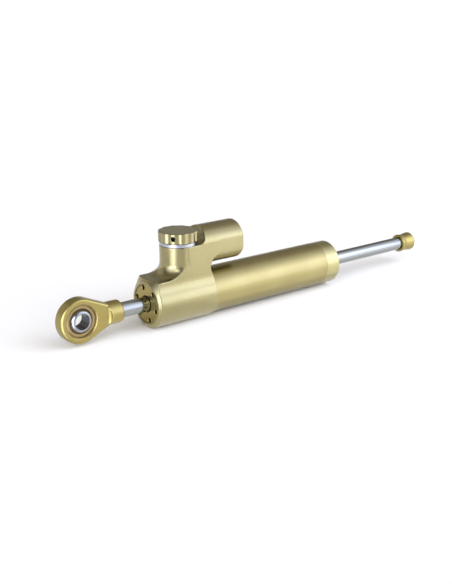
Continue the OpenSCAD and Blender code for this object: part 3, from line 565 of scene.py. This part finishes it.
def stand_for(node: str, skin: Skin, finish: Finish, axis: Axis,
              held: Sequence[tuple[str, Triple]] = ()) -> bpy.types.Object:
    """Shows a surface in the place of a solid.

    Args:
        node: The solid that the surface stands for.
        skin: The surface.
        finish: Its finish.
        axis: The axis its marks lie about.
        held: For a spring, the body that holds each end and where, in millimetres.

    Returns:
        The new piece, riding on the solid's body, or fixed in place on no body when held is given.
    """
    name = f"{node}_surface"
    mesh = bpy.data.meshes.new(name)
    mesh.from_pydata((skin.points * MM).tolist(), [], skin.faces.tolist() + skin.caps.tolist())
    mesh.shade_smooth()
    mesh.normals_split_custom_set_from_vertices(skin.normals.tolist())
    mesh.materials.append(finish.material(axis))
    piece = bpy.data.objects.new(name, mesh)
    bpy.context.scene.collection.objects.link(piece)
    if held:
        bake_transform(piece)
    else:
        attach(piece, frame["nodes"][node]["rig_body"])
    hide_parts(node)
    dress(node, finish, axis)
    log.info("built %s with %d vertices", name, len(skin.points))
    return piece


@dataclass
class RodEnd:
    """The eye with its shank, and the spherical bearing in it, about the origin."""

    eye_r: float = 11.6
    half_width: float = 3.5
    rim_round: float = 1.3
    flat_reach: float = 16.4
    flat_round: float = 2.2
    flat_edge: float = 0.4
    plate_overlap: float = 0.5
    shank_r: float = 6.0
    shank_end: float = 23.7
    shank_round: float = 1.4
    seat_r: float = 8.03
    seat_lead: float = 0.9
    seat_edge: float = 0.12
    race_r: float = 8.0
    race_half: float = 2.5
    stake: tuple[tuple[float, float], ...] = (
        (-0.05, 0.0), (0.78, 0.56), (0.84, 0.36), (-0.12, -0.1), (0.0, -0.32))
    stake_edge: float = 0.06
    socket_r: float = 7.1
    socket_inset: float = 0.15
    socket_edge: float = 0.12
    liner_r: float = 6.55
    liner_wall: float = 0.5
    liner_inset: float = 0.05
    ball_r: float = 6.5
    ball_half: float = 4.0
    ball_edge: float = 1.2
    ball_sweep: float = 0.8
    bolt_r: float = 4.0
    bolt_edge: float = 0.2

    def eye(self, x: Array, y: Array, z: Array) -> Array:
        """Distance to the housing.

        In the plane across the bolt the eye is a disc with two straight flanks that touch it and run
        to the corners of the flats; it is cut to width with a rounded rim. The shank is a round bar
        with flats, and the seat is a bore with a lead at each mouth.

        Args:
            x: Place along the rod.
            y: Place along the bolt.
            z: Height.

        Returns:
            The distance, below zero inside.
        """
        lean = math.atan2(self.shank_r, math.sqrt(self.flat_reach**2 - self.shank_r**2))
        lean += math.acos(self.eye_r / self.flat_reach)
        height, radius, side = np.abs(z), np.hypot(x, z), np.abs(y)
        past_touch = x * math.sin(lean) - height * math.cos(lean) > 0
        flank = x * math.cos(lean) + height * math.sin(lean) - self.eye_r
        outline = np.where(past_touch, flank, radius - self.eye_r)
        outline = np.maximum(outline, radius - self.flat_reach - self.plate_overlap)
        plate = common(outline, side - self.half_width, self.rim_round)
        shank = common(np.hypot(y, z) - self.shank_r, x - self.shank_end, self.shank_round)
        shank = np.maximum(shank, self.eye_r - x)
        flats = common(self.half_width - side, radius - self.flat_reach, self.flat_round)
        body = np.minimum(plate, cut(shank, flats, self.flat_edge))
        mouth = np.maximum(side - self.half_width + self.seat_lead, 0)
        return cut(body, radius - self.seat_r - mouth, self.seat_edge)

    def race_profile(self) -> Profile:
        """Ring with a spherical socket, its outer edge staked into the seat's lead beside a groove.

        The stake's corners are counted along and away from the ring's outer edge.
        """
        half = self.race_half
        dip = np.linspace(-1.0, 1.0, 11)[::-1] * (half - self.socket_inset)
        socket = [(a, math.sqrt(self.socket_r**2 - a * a), 0.0) for a in dip]
        lip = math.sqrt(self.socket_r**2 - half * half)
        front = [(half + a, self.race_r + r, self.stake_edge) for a, r in self.stake]
        front.append((half, lip, self.socket_edge))
        back = [(-a, r, e) for a, r, e in front[::-1]]
        return rounded_profile(front + socket + back)

    def liner_profile(self) -> Profile:
        """Thin shell between the ball's sphere and the race's socket."""
        half = self.race_half - self.liner_inset
        dip = np.linspace(-half, half, 21)
        outside = [(a, math.sqrt((self.liner_r + self.liner_wall) ** 2 - a * a), 0.0) for a in dip]
        inside = [(a, math.sqrt(self.liner_r**2 - a * a), 0.0) for a in dip[::-1]]
        return rounded_profile(outside + inside)

    def ball_profile(self) -> Profile:
        """Sphere cut flat at both ends, with the bolt's bore and rounded edges."""
        half, round_part = self.ball_half, np.linspace(-self.ball_sweep, self.ball_sweep, 33)
        angles = math.asin(half / self.ball_r) * np.concatenate([[-1.0], round_part, [1.0]])
        points = [(self.ball_r * math.sin(a), self.ball_r * math.cos(a), 0.0) for a in angles]
        points[0], points[-1] = (*points[0][:2], self.ball_edge), (*points[-1][:2], self.ball_edge)
        bore = [(half, self.bolt_r, self.bolt_edge), (-half, self.bolt_r, self.bolt_edge)]
        return rounded_profile(points + bore)

    def build(self) -> None:
        """Builds the housing, the race, the liner and the ball."""
        tall, wide = self.eye_r + MARGIN, self.shank_r + MARGIN
        eye = net(self.eye, (-tall, -wide, -tall), (self.shank_end + MARGIN, wide, tall), FINE_GRID)
        stand_for("rod_end_housing", eye, MATTE_GOLD, Axis.Y)
        stand_for("bearing_race", lathe(self.race_profile(), Axis.Y), BRONZE, Axis.Y)
        stand_for("bearing_ball", lathe(self.ball_profile(), Axis.Y), BALL_CHROME, Axis.Y)
        stand_for("bearing_liner", lathe(self.liner_profile(), Axis.Y), LINER, Axis.Y)


@dataclass
class ThroughRod:
    """The chromed rod from the eye to the tail, its stopper, and the piston on it."""

    rod_r: float = 4.0
    front: float = 23.73
    back: float = 234.8
    stud_r: float = 3.0
    stud_start: float = 14.2
    tail_r: float = 2.5
    tail_end: float = 240.8
    rod_edge: float = 0.3
    end_edge: float = 0.4
    root_edge: float = 0.1
    fit: float = 0.03
    stop_length: float = 10.7
    lip_r: float = 5.5
    lip_width: float = 1.6
    lip_rounds: tuple[float, float] = (0.75, 0.55)
    waist_r: float = 5.0
    waist_at: float = 3.4
    waist_round: float = 2.2
    end_r: float = 5.85
    end_round: float = 0.9
    recess_r: float = 4.2
    recess: float = 0.8

    def rod_profile(self) -> Profile:
        """Straight bar with a thinner stud at the front and a thinner tail at the back."""
        shoulder = self.back + self.recess - self.fit
        return rounded_profile([
            (self.stud_start, 0.0, 0.0), (self.stud_start, self.stud_r, self.end_edge),
            (self.front, self.stud_r, self.root_edge), (self.front, self.rod_r, self.rod_edge),
            (shoulder, self.rod_r, self.rod_edge), (shoulder, self.tail_r, self.root_edge),
            (self.tail_end, self.tail_r, self.end_edge), (self.tail_end, 0.0, 0.0)], closed=False)

    def stop_profile(self) -> Profile:
        """Spool with a rolled lip, a waist and a flare, recessed around the rod."""
        start, end = self.back, self.back + self.stop_length
        return rounded_profile([
            (start + self.recess, 0.0, 0.0), (start + self.recess, self.recess_r, self.root_edge),
            (start, self.recess_r, self.root_edge), (start, self.lip_r, self.lip_rounds[0]),
            (start + self.lip_width, self.lip_r, self.lip_rounds[1]),
            (start + self.waist_at, self.waist_r, self.waist_round),
            (end, self.end_r, self.end_round), (end, 0.0, 0.0)], closed=False)

    def build(self) -> None:
        """Builds the rod and its stopper, and dresses the piston with its rings."""
        stand_for("piston_rod", lathe(self.rod_profile(), Axis.X), CHROME, Axis.X)
        stand_for("rod_stopper", lathe(self.stop_profile(), Axis.X), MATTE_GOLD, Axis.X)
        dress("piston", SILVER, Axis.X)
        dress("piston_ring", POLYMER, Axis.X)
        dress("piston_circlips", SPRING_STEEL, Axis.X)


@dataclass
class Head:
    """The head block with tower, saddle and reservoir barrel, and the gland in its face."""

    front: float = 40.0
    back: float = 77.7
    drum_r: float = 13.25
    face_r: float = 11.3
    face_edge: float = 0.2
    cone: float = 1.15
    cone_edge: float = 0.3
    half_side: float = 9.95
    side_round: float = 12.0
    saddle_z: float = 13.0
    saddle_round: float = 6.8
    tower_x: float = 61.3
    tower_z: float = 28.9
    pocket_r: float = 20.0
    pocket_reach: float = 12.8
    pocket_round: float = 2.9
    pocket_edge: float = 0.5
    slot_x: float = 80.9
    slot_z: float = 15.6
    slot_r: float = 5.2
    slot_edge: float = 0.4
    slot_round: float = 2.2
    barrel_z: float = 26.35
    barrel_r: float = 10.6
    barrel_end: float = 97.95
    barrel_round: float = 0.8
    barrel_fillet: float = 1.0
    edge: float = 0.55
    gland_bore_r: float = 10.35
    gland_bore_end: float = 50.08
    cylinder_bore_r: float = 9.03
    tube_bore_r: float = 11.53
    tube_bore_start: float = 68.0
    tube_bore_edge: float = 0.15
    tower_bore_r: float = 6.03
    tower_bore_bottom: float = 14.5
    barrel_bore_r: float = 8.6
    barrel_bore_start: float = 76.95
    barrel_bore_edge: float = 0.3
    gland_r: float = 10.3
    gland_face: float = 40.25
    gland_steps: tuple[tuple[float, float], ...] = ((10.3, 50.05), (9.0, 56.75), (7.97, 58.55))
    gland_edge: float = 0.35
    mouth_r: float = 4.5
    mouth_edge: float = 0.12
    spanner_count: int = 6
    spanner_r: float = 1.2
    spanner_at: float = 8.7
    spanner_depth: float = 2.4
    spanner_turn: float = 14.0
    spanner_edge: float = 0.35

    def block(self, x: Array, y: Array, z: Array) -> Array:
        """Distance to the head block.

        Across the rod the section is a round drum that flows by a fillet into two flat sides. Seen
        from the side it is trimmed to a saddle that flows into a round tower, a web over a round slot,
        and a barrel along the rod. A round pocket with a filleted floor is sunk for the knob.

        Args:
            x: Place along the rod.
            y: Place along the bolt.
            z: Height.

        Returns:
            The distance, below zero inside.
        """
        from_rod, from_tower, side = np.hypot(y, z), np.hypot(x - self.tower_x, y), np.abs(y)
        section = self.section(side, z)
        front = join(z - self.saddle_z, from_tower - self.half_side, self.saddle_round)
        front = np.minimum(front, self.tower_x - x)
        web = np.maximum(x - self.slot_x, np.minimum(x - self.back, self.slot_z - z))
        rim = np.maximum(side - self.half_side + self.slot_edge, 0)
        slot = np.hypot(x - self.slot_x, z - self.slot_z) - self.slot_r - rim
        barrel = np.hypot(y, z - self.barrel_z) - self.barrel_r
        barrel = common(barrel, x - self.barrel_end, self.barrel_round)
        barrel = np.maximum(barrel, self.tower_x - x)
        low = np.maximum(np.maximum(front, cut(web, slot, self.slot_round)), z - self.tower_z)
        trim = join(low, barrel, self.barrel_fillet)
        body = common(section, trim, self.edge)
        from_pocket = np.hypot(x - self.tower_x - self.pocket_reach + self.pocket_r, y)
        pocket = common(from_pocket - self.pocket_r, self.tower_z - z, self.pocket_round)
        body = cut(body, pocket, self.pocket_edge)
        slope = math.hypot(self.cone, self.drum_r - self.face_r)
        cone = (from_rod - self.face_r) * self.cone - (x - self.front) * (self.drum_r - self.face_r)
        body = common(body, cone / slope, self.cone_edge)
        body = common(body, self.front - x, self.face_edge)
        return self.bored(body, x, y, z)

    def section(self, side: Array, z: Array) -> Array:
        """Distance to the section across the rod.

        Below a line from the rod to the middle of the fillet's circle the section is the drum, above
        the height of that middle it is the flat side, and between them it is the circle's hollow.

        Args:
            side: Distance from the middle plane.
            z: Height.

        Returns:
            The distance, below zero inside.
        """
        across = self.half_side + self.side_round
        up = math.sqrt((self.drum_r + self.side_round) ** 2 - across**2)
        drum, flat = np.hypot(side, z) - self.drum_r, side - self.half_side + 0 * z
        hollow = self.side_round - np.hypot(side - across, z - up)
        return np.where(z > up, flat, np.where(z * across > side * up, hollow, drum))

    def bored(self, body: Array, x: Array, y: Array, z: Array) -> Array:
        """Takes the seats of gland, cylinder, tube, adjuster and reservoir out of the block.

        Args:
            body: Distance to the block without them.
            x: Place along the rod.
            y: Place along the bolt.
            z: Height.

        Returns:
            Distance to the block with them.
        """
        from_rod, from_tower = np.hypot(y, z), np.hypot(x - self.tower_x, y)
        from_barrel = np.hypot(y, z - self.barrel_z)
        body = cut(body, np.maximum(from_rod - self.gland_bore_r, x - self.gland_bore_end), self.face_edge)
        body = np.maximum(body, self.cylinder_bore_r - from_rod)
        socket = np.maximum(from_rod - self.tube_bore_r, self.tube_bore_start - x)
        body = cut(body, socket, self.tube_bore_edge)
        body = np.maximum(body, -np.maximum(from_tower - self.tower_bore_r, self.tower_bore_bottom - z))
        chamber = np.maximum(from_barrel - self.barrel_bore_r, self.barrel_bore_start - x)
        return cut(body, chamber, self.barrel_bore_edge)

    def gland(self, x: Array, y: Array, z: Array) -> Array:
        """Distance to the stepped gland, with its mouth for the rod and its holes for a pin spanner.

        Round bars of falling radius stand one behind the other, less a bore and a ring of blind holes.

        Args:
            x: Place along the rod.
            y: Place along the bolt.
            z: Height.

        Returns:
            The distance, below zero inside.
        """
        radius = np.hypot(y, z)
        body = np.minimum.reduce([np.maximum(radius - r, x - end) for r, end in self.gland_steps])
        body = common(body, self.gland_face - x, self.gland_edge)
        body = cut(body, radius - self.mouth_r + 0 * x, self.mouth_edge)
        along, across = fold(y, z, self.spanner_count, self.spanner_turn)
        hole = np.maximum(np.hypot(along - self.spanner_at, across) - self.spanner_r,
                          x - self.gland_face - self.spanner_depth)
        return cut(body, hole, self.spanner_edge)

    def build(self) -> None:
        """Builds the block and the gland, and dresses the seals and guides in them."""
        wide, top = self.drum_r + MARGIN, self.barrel_z + self.barrel_r + 2 * MARGIN
        low, high = (self.front - MARGIN, -wide, -wide), (self.barrel_end + MARGIN, wide, top)
        block = net(self.block, low, high, BROAD_GRID)
        stand_for("head_block", block, SATIN_GOLD, Axis.X)
        reach, end = self.gland_r + MARGIN, self.gland_steps[-1][1] + MARGIN
        gland = net(self.gland, (self.gland_face - MARGIN, -reach, -reach), (end, reach, reach), FINE_GRID)
        stand_for("front_gland", gland, GLAND_GOLD, Axis.X)
        dress("front_bush", BRONZE, Axis.X)
        for node in ("front_rod_seal", "front_wiper", "gland_o_ring"):
            dress(node, RUBBER, Axis.X)


@dataclass
class Tube:
    """The outer tube with its end cap, and the cylinder inside it."""

    start: float = 68.2
    shoulder: float = 77.7
    end: float = 159.9
    outer_r: float = 12.5
    spigot_r: float = 11.5
    bore_r: float = 10.25
    cap_end: float = 169.9
    cap_r: float = 12.47
    cap_round: float = 0.7
    mouth_r: float = 4.5
    mouth_edge: float = 0.3
    end_edge: float = 0.1
    root_edge: float = 0.05
    shoulder_edge: float = 0.2
    seam_edge: float = 0.15
    fit: float = 0.03
    segments: int = 224

    def tube_profile(self) -> Profile:
        """Straight tube with a thinner spigot in the head and a fine chamfer at the seam."""
        return rounded_profile([
            (self.start, self.spigot_r, self.end_edge), (self.shoulder, self.spigot_r, self.root_edge),
            (self.shoulder, self.outer_r, self.shoulder_edge), (self.end, self.outer_r, self.seam_edge),
            (self.end, self.bore_r, self.end_edge), (self.start, self.bore_r, self.end_edge)])

    def cap_profile(self) -> Profile:
        """Ring with a rounded back edge and a mouth for the rod."""
        start = self.end + self.fit
        return rounded_profile([
            (start, self.cap_r, self.seam_edge), (self.cap_end, self.cap_r, self.cap_round),
            (self.cap_end, self.mouth_r, self.mouth_edge), (start, self.mouth_r, self.end_edge)])

    def build(self) -> None:
        """Builds the tube and its cap, and dresses what is inside."""
        tube, cap = (lathe(line, Axis.X, self.segments) for line in (self.tube_profile(), self.cap_profile()))
        stand_for("outer_tube", tube, TURNED_GOLD, Axis.X)
        stand_for("rear_end_cap", cap, BAND_GOLD, Axis.X)
        dress("inner_cylinder", STEEL, Axis.X)
        dress("rear_bush", BRONZE, Axis.X)
        for node in ("tube_o_ring", "cylinder_o_ring", "rear_rod_seal", "rear_wiper", "cap_o_ring"):
            dress(node, RUBBER, Axis.X)


@dataclass
class Adjuster:
    """The fluted knob on its index ring, with the valve under it, about the tower's axis."""

    axis_x: float = 61.3
    bottom: float = 30.85
    height: float = 5.4
    knob_r: float = 10.57
    flute_count: int = 12
    flute_r: float = 3.0
    flute_depth: float = 0.5
    flute_edge: float = 0.4
    rim_round: float = 0.45
    under_edge: float = 0.2
    screw_turn: float = -139.5
    screw_r: float = 1.25
    screw_up: float = 2.8
    screw_start: float = 2.0
    screw_edge: float = 0.15
    shaft_r: float = 2.03
    shaft_reach: float = 3.8
    track_at: float = 7.9
    track_r: float = 1.05
    track_drop: float = 0.54
    click_count: int = 24
    click_turn: float = 90.0
    click_drop: float = 0.24

    def knob(self, x: Array, y: Array, z: Array) -> Array:
        """Distance to the knob.

        A short round bar with shallow flutes around its rim, a cross hole for the set screw, a blind
        bore for the spindle, and a ring of dimples underneath for the click ball.

        Args:
            x: Place along the rod.
            y: Place along the bolt.
            z: Height.

        Returns:
            The distance, below zero inside.
        """
        x = x - self.axis_x
        radius = np.hypot(x, y)
        along, across = fold(x, y, self.flute_count, self.screw_turn + 180 / self.flute_count)
        flute = np.hypot(along - self.knob_r - self.flute_r + self.flute_depth, across) - self.flute_r
        body = cut(radius - self.knob_r, flute, self.flute_edge)
        body = common(body, z - self.bottom - self.height, self.rim_round)
        body = common(body, self.bottom - z, self.under_edge)
        turn = math.radians(self.screw_turn)
        outward, sideways = x * math.cos(turn) + y * math.sin(turn), y * math.cos(turn) - x * math.sin(turn)
        hole = np.hypot(sideways, z - self.bottom - self.screw_up) - self.screw_r
        body = cut(body, np.maximum(hole, self.screw_start - outward), self.screw_edge)
        body = np.maximum(body, -np.maximum(radius - self.shaft_r, z - self.bottom - self.shaft_reach))
        track = np.hypot(radius - self.track_at, z - self.bottom + self.track_drop)
        body = np.maximum(body, self.track_r - track)
        along, across = fold(x, y, self.click_count, self.click_turn)
        dimple = np.sqrt((along - self.track_at) ** 2 + across**2 + (z - self.bottom + self.click_drop) ** 2)
        return np.maximum(body, self.track_r - dimple)

    def build(self) -> None:
        """Builds the knob, and dresses the index ring and the valve."""
        reach = self.knob_r + MARGIN
        low = (self.axis_x - reach, -reach, self.bottom - MARGIN)
        high = (self.axis_x + reach, reach, self.bottom + self.height + MARGIN)
        stand_for("adjuster_knob", net(self.knob, low, high, FINE_GRID), SATIN_GOLD, Axis.Z)
        dress("index_ring", SILVER, Axis.Z)
        dress("knob_set_screw", BLACK_STEEL, Axis.Z)
        dress("needle_seat", BRONZE, Axis.Z)
        for node in ("adjuster_cartridge", "adjuster_needle", "adjuster_spindle", "detent_ball"):
            dress(node, STEEL, Axis.Z)
        for node in ("spindle_circlip", "detent_spring"):
            dress(node, SPRING_STEEL, Axis.Z)
        for node in ("cartridge_o_ring", "spindle_o_ring"):
            dress(node, RUBBER, Axis.Z)


@dataclass
class Reservoir:
    """The floating piston, its spring and the plug in the barrel."""

    barrel_z: float = 26.35
    spring_start: float = 83.78
    spring_end: float = 91.43
    spring_r: float = 5.85
    spring_turns: float = 3.0
    wire_r: float = 0.55

    def build(self) -> None:
        """Builds the spring, fixed where it is made, and dresses the solids in the barrel."""
        start, end = (self.spring_start, 0.0, self.barrel_z), (self.spring_end, 0.0, self.barrel_z)
        length = self.spring_end - self.spring_start
        spring = coil(Axis.X, start, length, self.spring_r, self.wire_r, self.spring_turns)
        stand_for("reservoir_spring", spring, SPRING_STEEL, Axis.X,
                  held=(("compensator", start), ("damper_body", end)))
        dress("reservoir_plug", TURNED_GOLD, Axis.X)
        dress("floating_piston", SILVER, Axis.X)
        dress("plug_circlip", SPRING_STEEL, Axis.X)
        for node in ("floating_o_ring", "plug_o_ring"):
            dress(node, RUBBER, Axis.X)


@dataclass(frozen=True)
class Glow:
    """A soft patch of light in the room around the object.

    Attributes:
        towards: Direction from the object to the patch.
        colour: Linear colour at its middle.
        inner: Angle out to which it is full, in degrees.
        outer: Angle at which it has faded out, in degrees.
    """

    towards: Triple
    colour: Triple
    inner: float
    outer: float


WHITE = (1.0, 1.0, 1.0)
COOL = (0.95, 1.0, 1.32)


@dataclass(frozen=True)
class Lamp:
    """A soft box, facing a point.

    Attributes:
        title: Its name.
        place: Where its middle is.
        aim: The point it faces.
        width: Its width.
        height: Its height.
        glow: How bright its face is, where 1 is the floor's white.
        tint: Linear colour of its light.
        gloss_only: Whether it shows in reflections without lighting the floor.
    """

    title: str
    place: Triple
    aim: Triple
    width: float
    height: float
    glow: float
    tint: Triple = WHITE
    gloss_only: bool = False

    def build(self) -> None:
        """Adds the lamp, unseen by the camera itself."""
        data = bpy.data.lights.new(self.title, "AREA")
        data.shape, data.size, data.size_y = "RECTANGLE", self.width * MM, self.height * MM
        data.color = self.tint
        data.energy = FACE_POWER * self.glow * data.size * data.size_y
        lamp = bpy.data.objects.new(self.title, data)
        lamp.location = Vector(self.place) * MM
        lamp.rotation_euler = (Vector(self.place) - Vector(self.aim)).to_track_quat("Z", "Y").to_euler()
        lamp.visible_camera = False
        lamp.visible_diffuse = not self.gloss_only
        bpy.context.scene.collection.objects.link(lamp)


@dataclass
class Studio:
    """A white floor, a plain room of soft light, and the camera."""

    floor_z: float = -13.3
    floor_half: float = 6000.0
    floor_colour: str = "#fcfaf4"
    white: Triple = (0.95, 0.95, 0.95)
    wall: tuple[float, float] = (0.075, 0.12)
    glows: tuple[Glow, ...] = (
        Glow((0.478, -0.765, 0.431), (0.76, 0.85, 1.10), 12.0, 25.0),
        Glow((0.664, -0.664, 0.342), (1.58, 1.66, 2.05), 10.0, 60.0),
        Glow((-0.951, -0.255, 0.174), (2.50, 2.64, 3.35), 5.0, 45.0),
        Glow((0.557, 0.663, 0.500), (0.33, 0.31, 0.27), 10.0, 60.0),
        Glow((0.000, 0.000, 1.000), (0.38, 0.36, 0.31), 10.0, 60.0),
        Glow((-0.435, 0.819, 0.375), (0.75, 0.71, 0.62), 5.0, 32.0),
        Glow((-0.595, -0.617, 0.515), (4.40, 4.50, 4.70), 3.0, 15.0),
        Glow((0.975, 0.172, 0.139), (0.95, 0.90, 0.78), 4.0, 26.0),
    )
    lamps: tuple[Lamp, ...] = (
        Lamp("key_high", (369.0, -203.0, 195.0), (110.0, 0.0, 5.0), 220.0, 160.0, 0.59, COOL),
        Lamp("key_low", (260.0, -160.0, 50.0), (100.0, 0.0, 20.0), 220.0, 120.0, 0.85, COOL),
        Lamp("strip_near", (-62.0, -45.0, 18.0), (61.0, 0.0, 18.0), 40.0, 60.0, 1.7, COOL, True),
        Lamp("strip_front", (-48.0, -66.0, 14.0), (61.0, 0.0, 18.0), 40.0, 52.0, 2.9, COOL, True),
        Lamp("strip_far", (-236.0, -39.0, 42.0), (61.0, 0.0, 20.0), 45.0, 110.0, 3.8, COOL),
        Lamp("strip_low", (-29.0, -34.0, -13.0), (-29.0, -34.0, 50.0), 42.0, 44.0, 3.1, COOL, True),
        Lamp("card_right", (185.0, -108.0, -13.0), (185.0, -108.0, 50.0), 200.0, 184.0, 0.42, WHITE, True),
        Lamp("card_far", (202.5, -119.0, -12.9), (202.5, -119.0, 50.0), 165.0, 162.0, 0.24, WHITE, True),
        Lamp("card_front", (42.5, -48.0, -13.0), (42.5, -48.0, 50.0), 85.0, 104.0, 0.2, WHITE, True),
    )
    sun_towards: Triple = (-0.065, -0.740, 0.669)
    sun_angle: float = 85.0
    sun_power: float = 0.86
    azimuth: float = -38.6
    elevation: float = 17.38
    roll: float = -0.23
    distance: float = 515.49
    target: Triple = (92.35, 0.0, -0.95)
    lens: float = 57.44
    sensor: float = 36.0
    clip: tuple[float, float] = (0.01, 50.0)
    shift: tuple[float, float] = (0.0026, -0.0092)

    def floor(self) -> None:
        """A white floor that keeps the object's shadow."""
        half, level = self.floor_half * MM, self.floor_z * MM
        mesh = bpy.data.meshes.new("floor")
        corners = np.array([(-1, -1, 0), (1, -1, 0), (1, 1, 0), (-1, 1, 0)]) * half + (0, 0, level)
        mesh.from_pydata(corners.tolist(), [], [(0, 1, 2, 3)])
        paper = bpy.data.materials.new("white_floor")
        paper.use_nodes = True
        tree = paper.node_tree
        tree.nodes.clear()
        shader = add(tree, "ShaderNodeBsdfPrincipled", {
            "Base Color": linear(self.floor_colour), "Roughness": 1.0, "Specular IOR Level": 0.0})
        add(tree, "ShaderNodeOutputMaterial", {"Surface": shader.outputs[0]})
        mesh.materials.append(paper)
        floor = bpy.data.objects.new("floor", mesh)
        bpy.context.scene.collection.objects.link(floor)

    def light(self) -> None:
        """A low white wall all round, soft patches of light above it, and soft boxes nearer by.

        One broad sun from the front lights the floor around the shadow. It stays out of the reflections.
        """
        world = bpy.data.worlds.new("studio")
        world.use_nodes = True
        tree = world.node_tree
        tree.nodes.clear()
        towards = add(tree, "ShaderNodeTexCoord").outputs["Generated"]
        height = add(tree, "ShaderNodeSeparateXYZ", {0: towards}).outputs["Z"]
        rise = add(tree, "ShaderNodeMapRange", {0: height, 1: self.wall[0], 2: self.wall[1]},
                   interpolation_type="SMOOTHSTEP").outputs[0]
        colour = add(tree, "ShaderNodeMix", {0: rise, 6: (*self.white, 1.0), 7: (0.0, 0.0, 0.0, 1.0)},
                     data_type="RGBA").outputs[2]
        for glow in self.glows:
            aim = Vector(glow.towards).normalized()
            near = add(tree, "ShaderNodeVectorMath", {
                0: towards, 1: aim}, operation="DOT_PRODUCT").outputs["Value"]
            share = add(tree, "ShaderNodeMapRange", {
                0: near, 1: math.cos(math.radians(glow.outer)), 2: math.cos(math.radians(glow.inner))},
                interpolation_type="SMOOTHSTEP").outputs[0]
            colour = add(tree, "ShaderNodeMix", {0: share, 6: colour, 7: (*glow.colour, 1.0)},
                         data_type="RGBA", blend_type="ADD").outputs[2]
        sky = add(tree, "ShaderNodeBackground", {"Color": colour, "Strength": 1.0})
        add(tree, "ShaderNodeOutputWorld", {"Surface": sky.outputs[0]})
        bpy.context.scene.world = world
        for box in self.lamps:
            box.build()
        data = bpy.data.lights.new("front_sun", "SUN")
        data.angle, data.energy = math.radians(self.sun_angle), self.sun_power
        lamp = bpy.data.objects.new("front_sun", data)
        lamp.rotation_euler = Vector(self.sun_towards).to_track_quat("Z", "Y").to_euler()
        lamp.visible_glossy = False
        bpy.context.scene.collection.objects.link(lamp)

    def camera(self) -> None:
        """The camera, where the photograph's perspective puts it."""
        turn, tilt, lean = (math.radians(a) for a in (self.azimuth, self.elevation, self.roll))
        back = Vector((math.sin(turn) * math.cos(tilt), -math.cos(turn) * math.cos(tilt), math.sin(tilt)))
        right = Vector((math.cos(turn), math.sin(turn), 0.0))
        up = back.cross(right)
        right, up = right * math.cos(lean) + up * math.sin(lean), up * math.cos(lean) - right * math.sin(lean)
        data = bpy.data.cameras.new("camera")
        data.lens, data.sensor_width = self.lens, self.sensor
        data.shift_x, data.shift_y = self.shift
        data.clip_start, data.clip_end = self.clip
        camera = bpy.data.objects.new("camera", data)
        place = Matrix((right, up, back)).transposed().to_4x4()
        place.translation = (Vector(self.target) + back * self.distance) * MM
        camera.matrix_world = place
        bpy.context.scene.collection.objects.link(camera)
        bpy.context.scene.camera = camera

    def build(self) -> None:
        """Sets the floor, the light, the camera and a plain view."""
        self.floor()
        self.light()
        self.camera()
        bpy.context.scene.view_settings.view_transform = "Standard"


def main() -> None:
    """Builds every assembly and the studio."""
    logging.basicConfig(level=logging.INFO, format="%(name)s: %(message)s")
    for assembly in (RodEnd(), ThroughRod(), Head(), Tube(), Adjuster(), Reservoir(), Studio()):
        assembly.build()


if __name__ == "__main__":
    main()
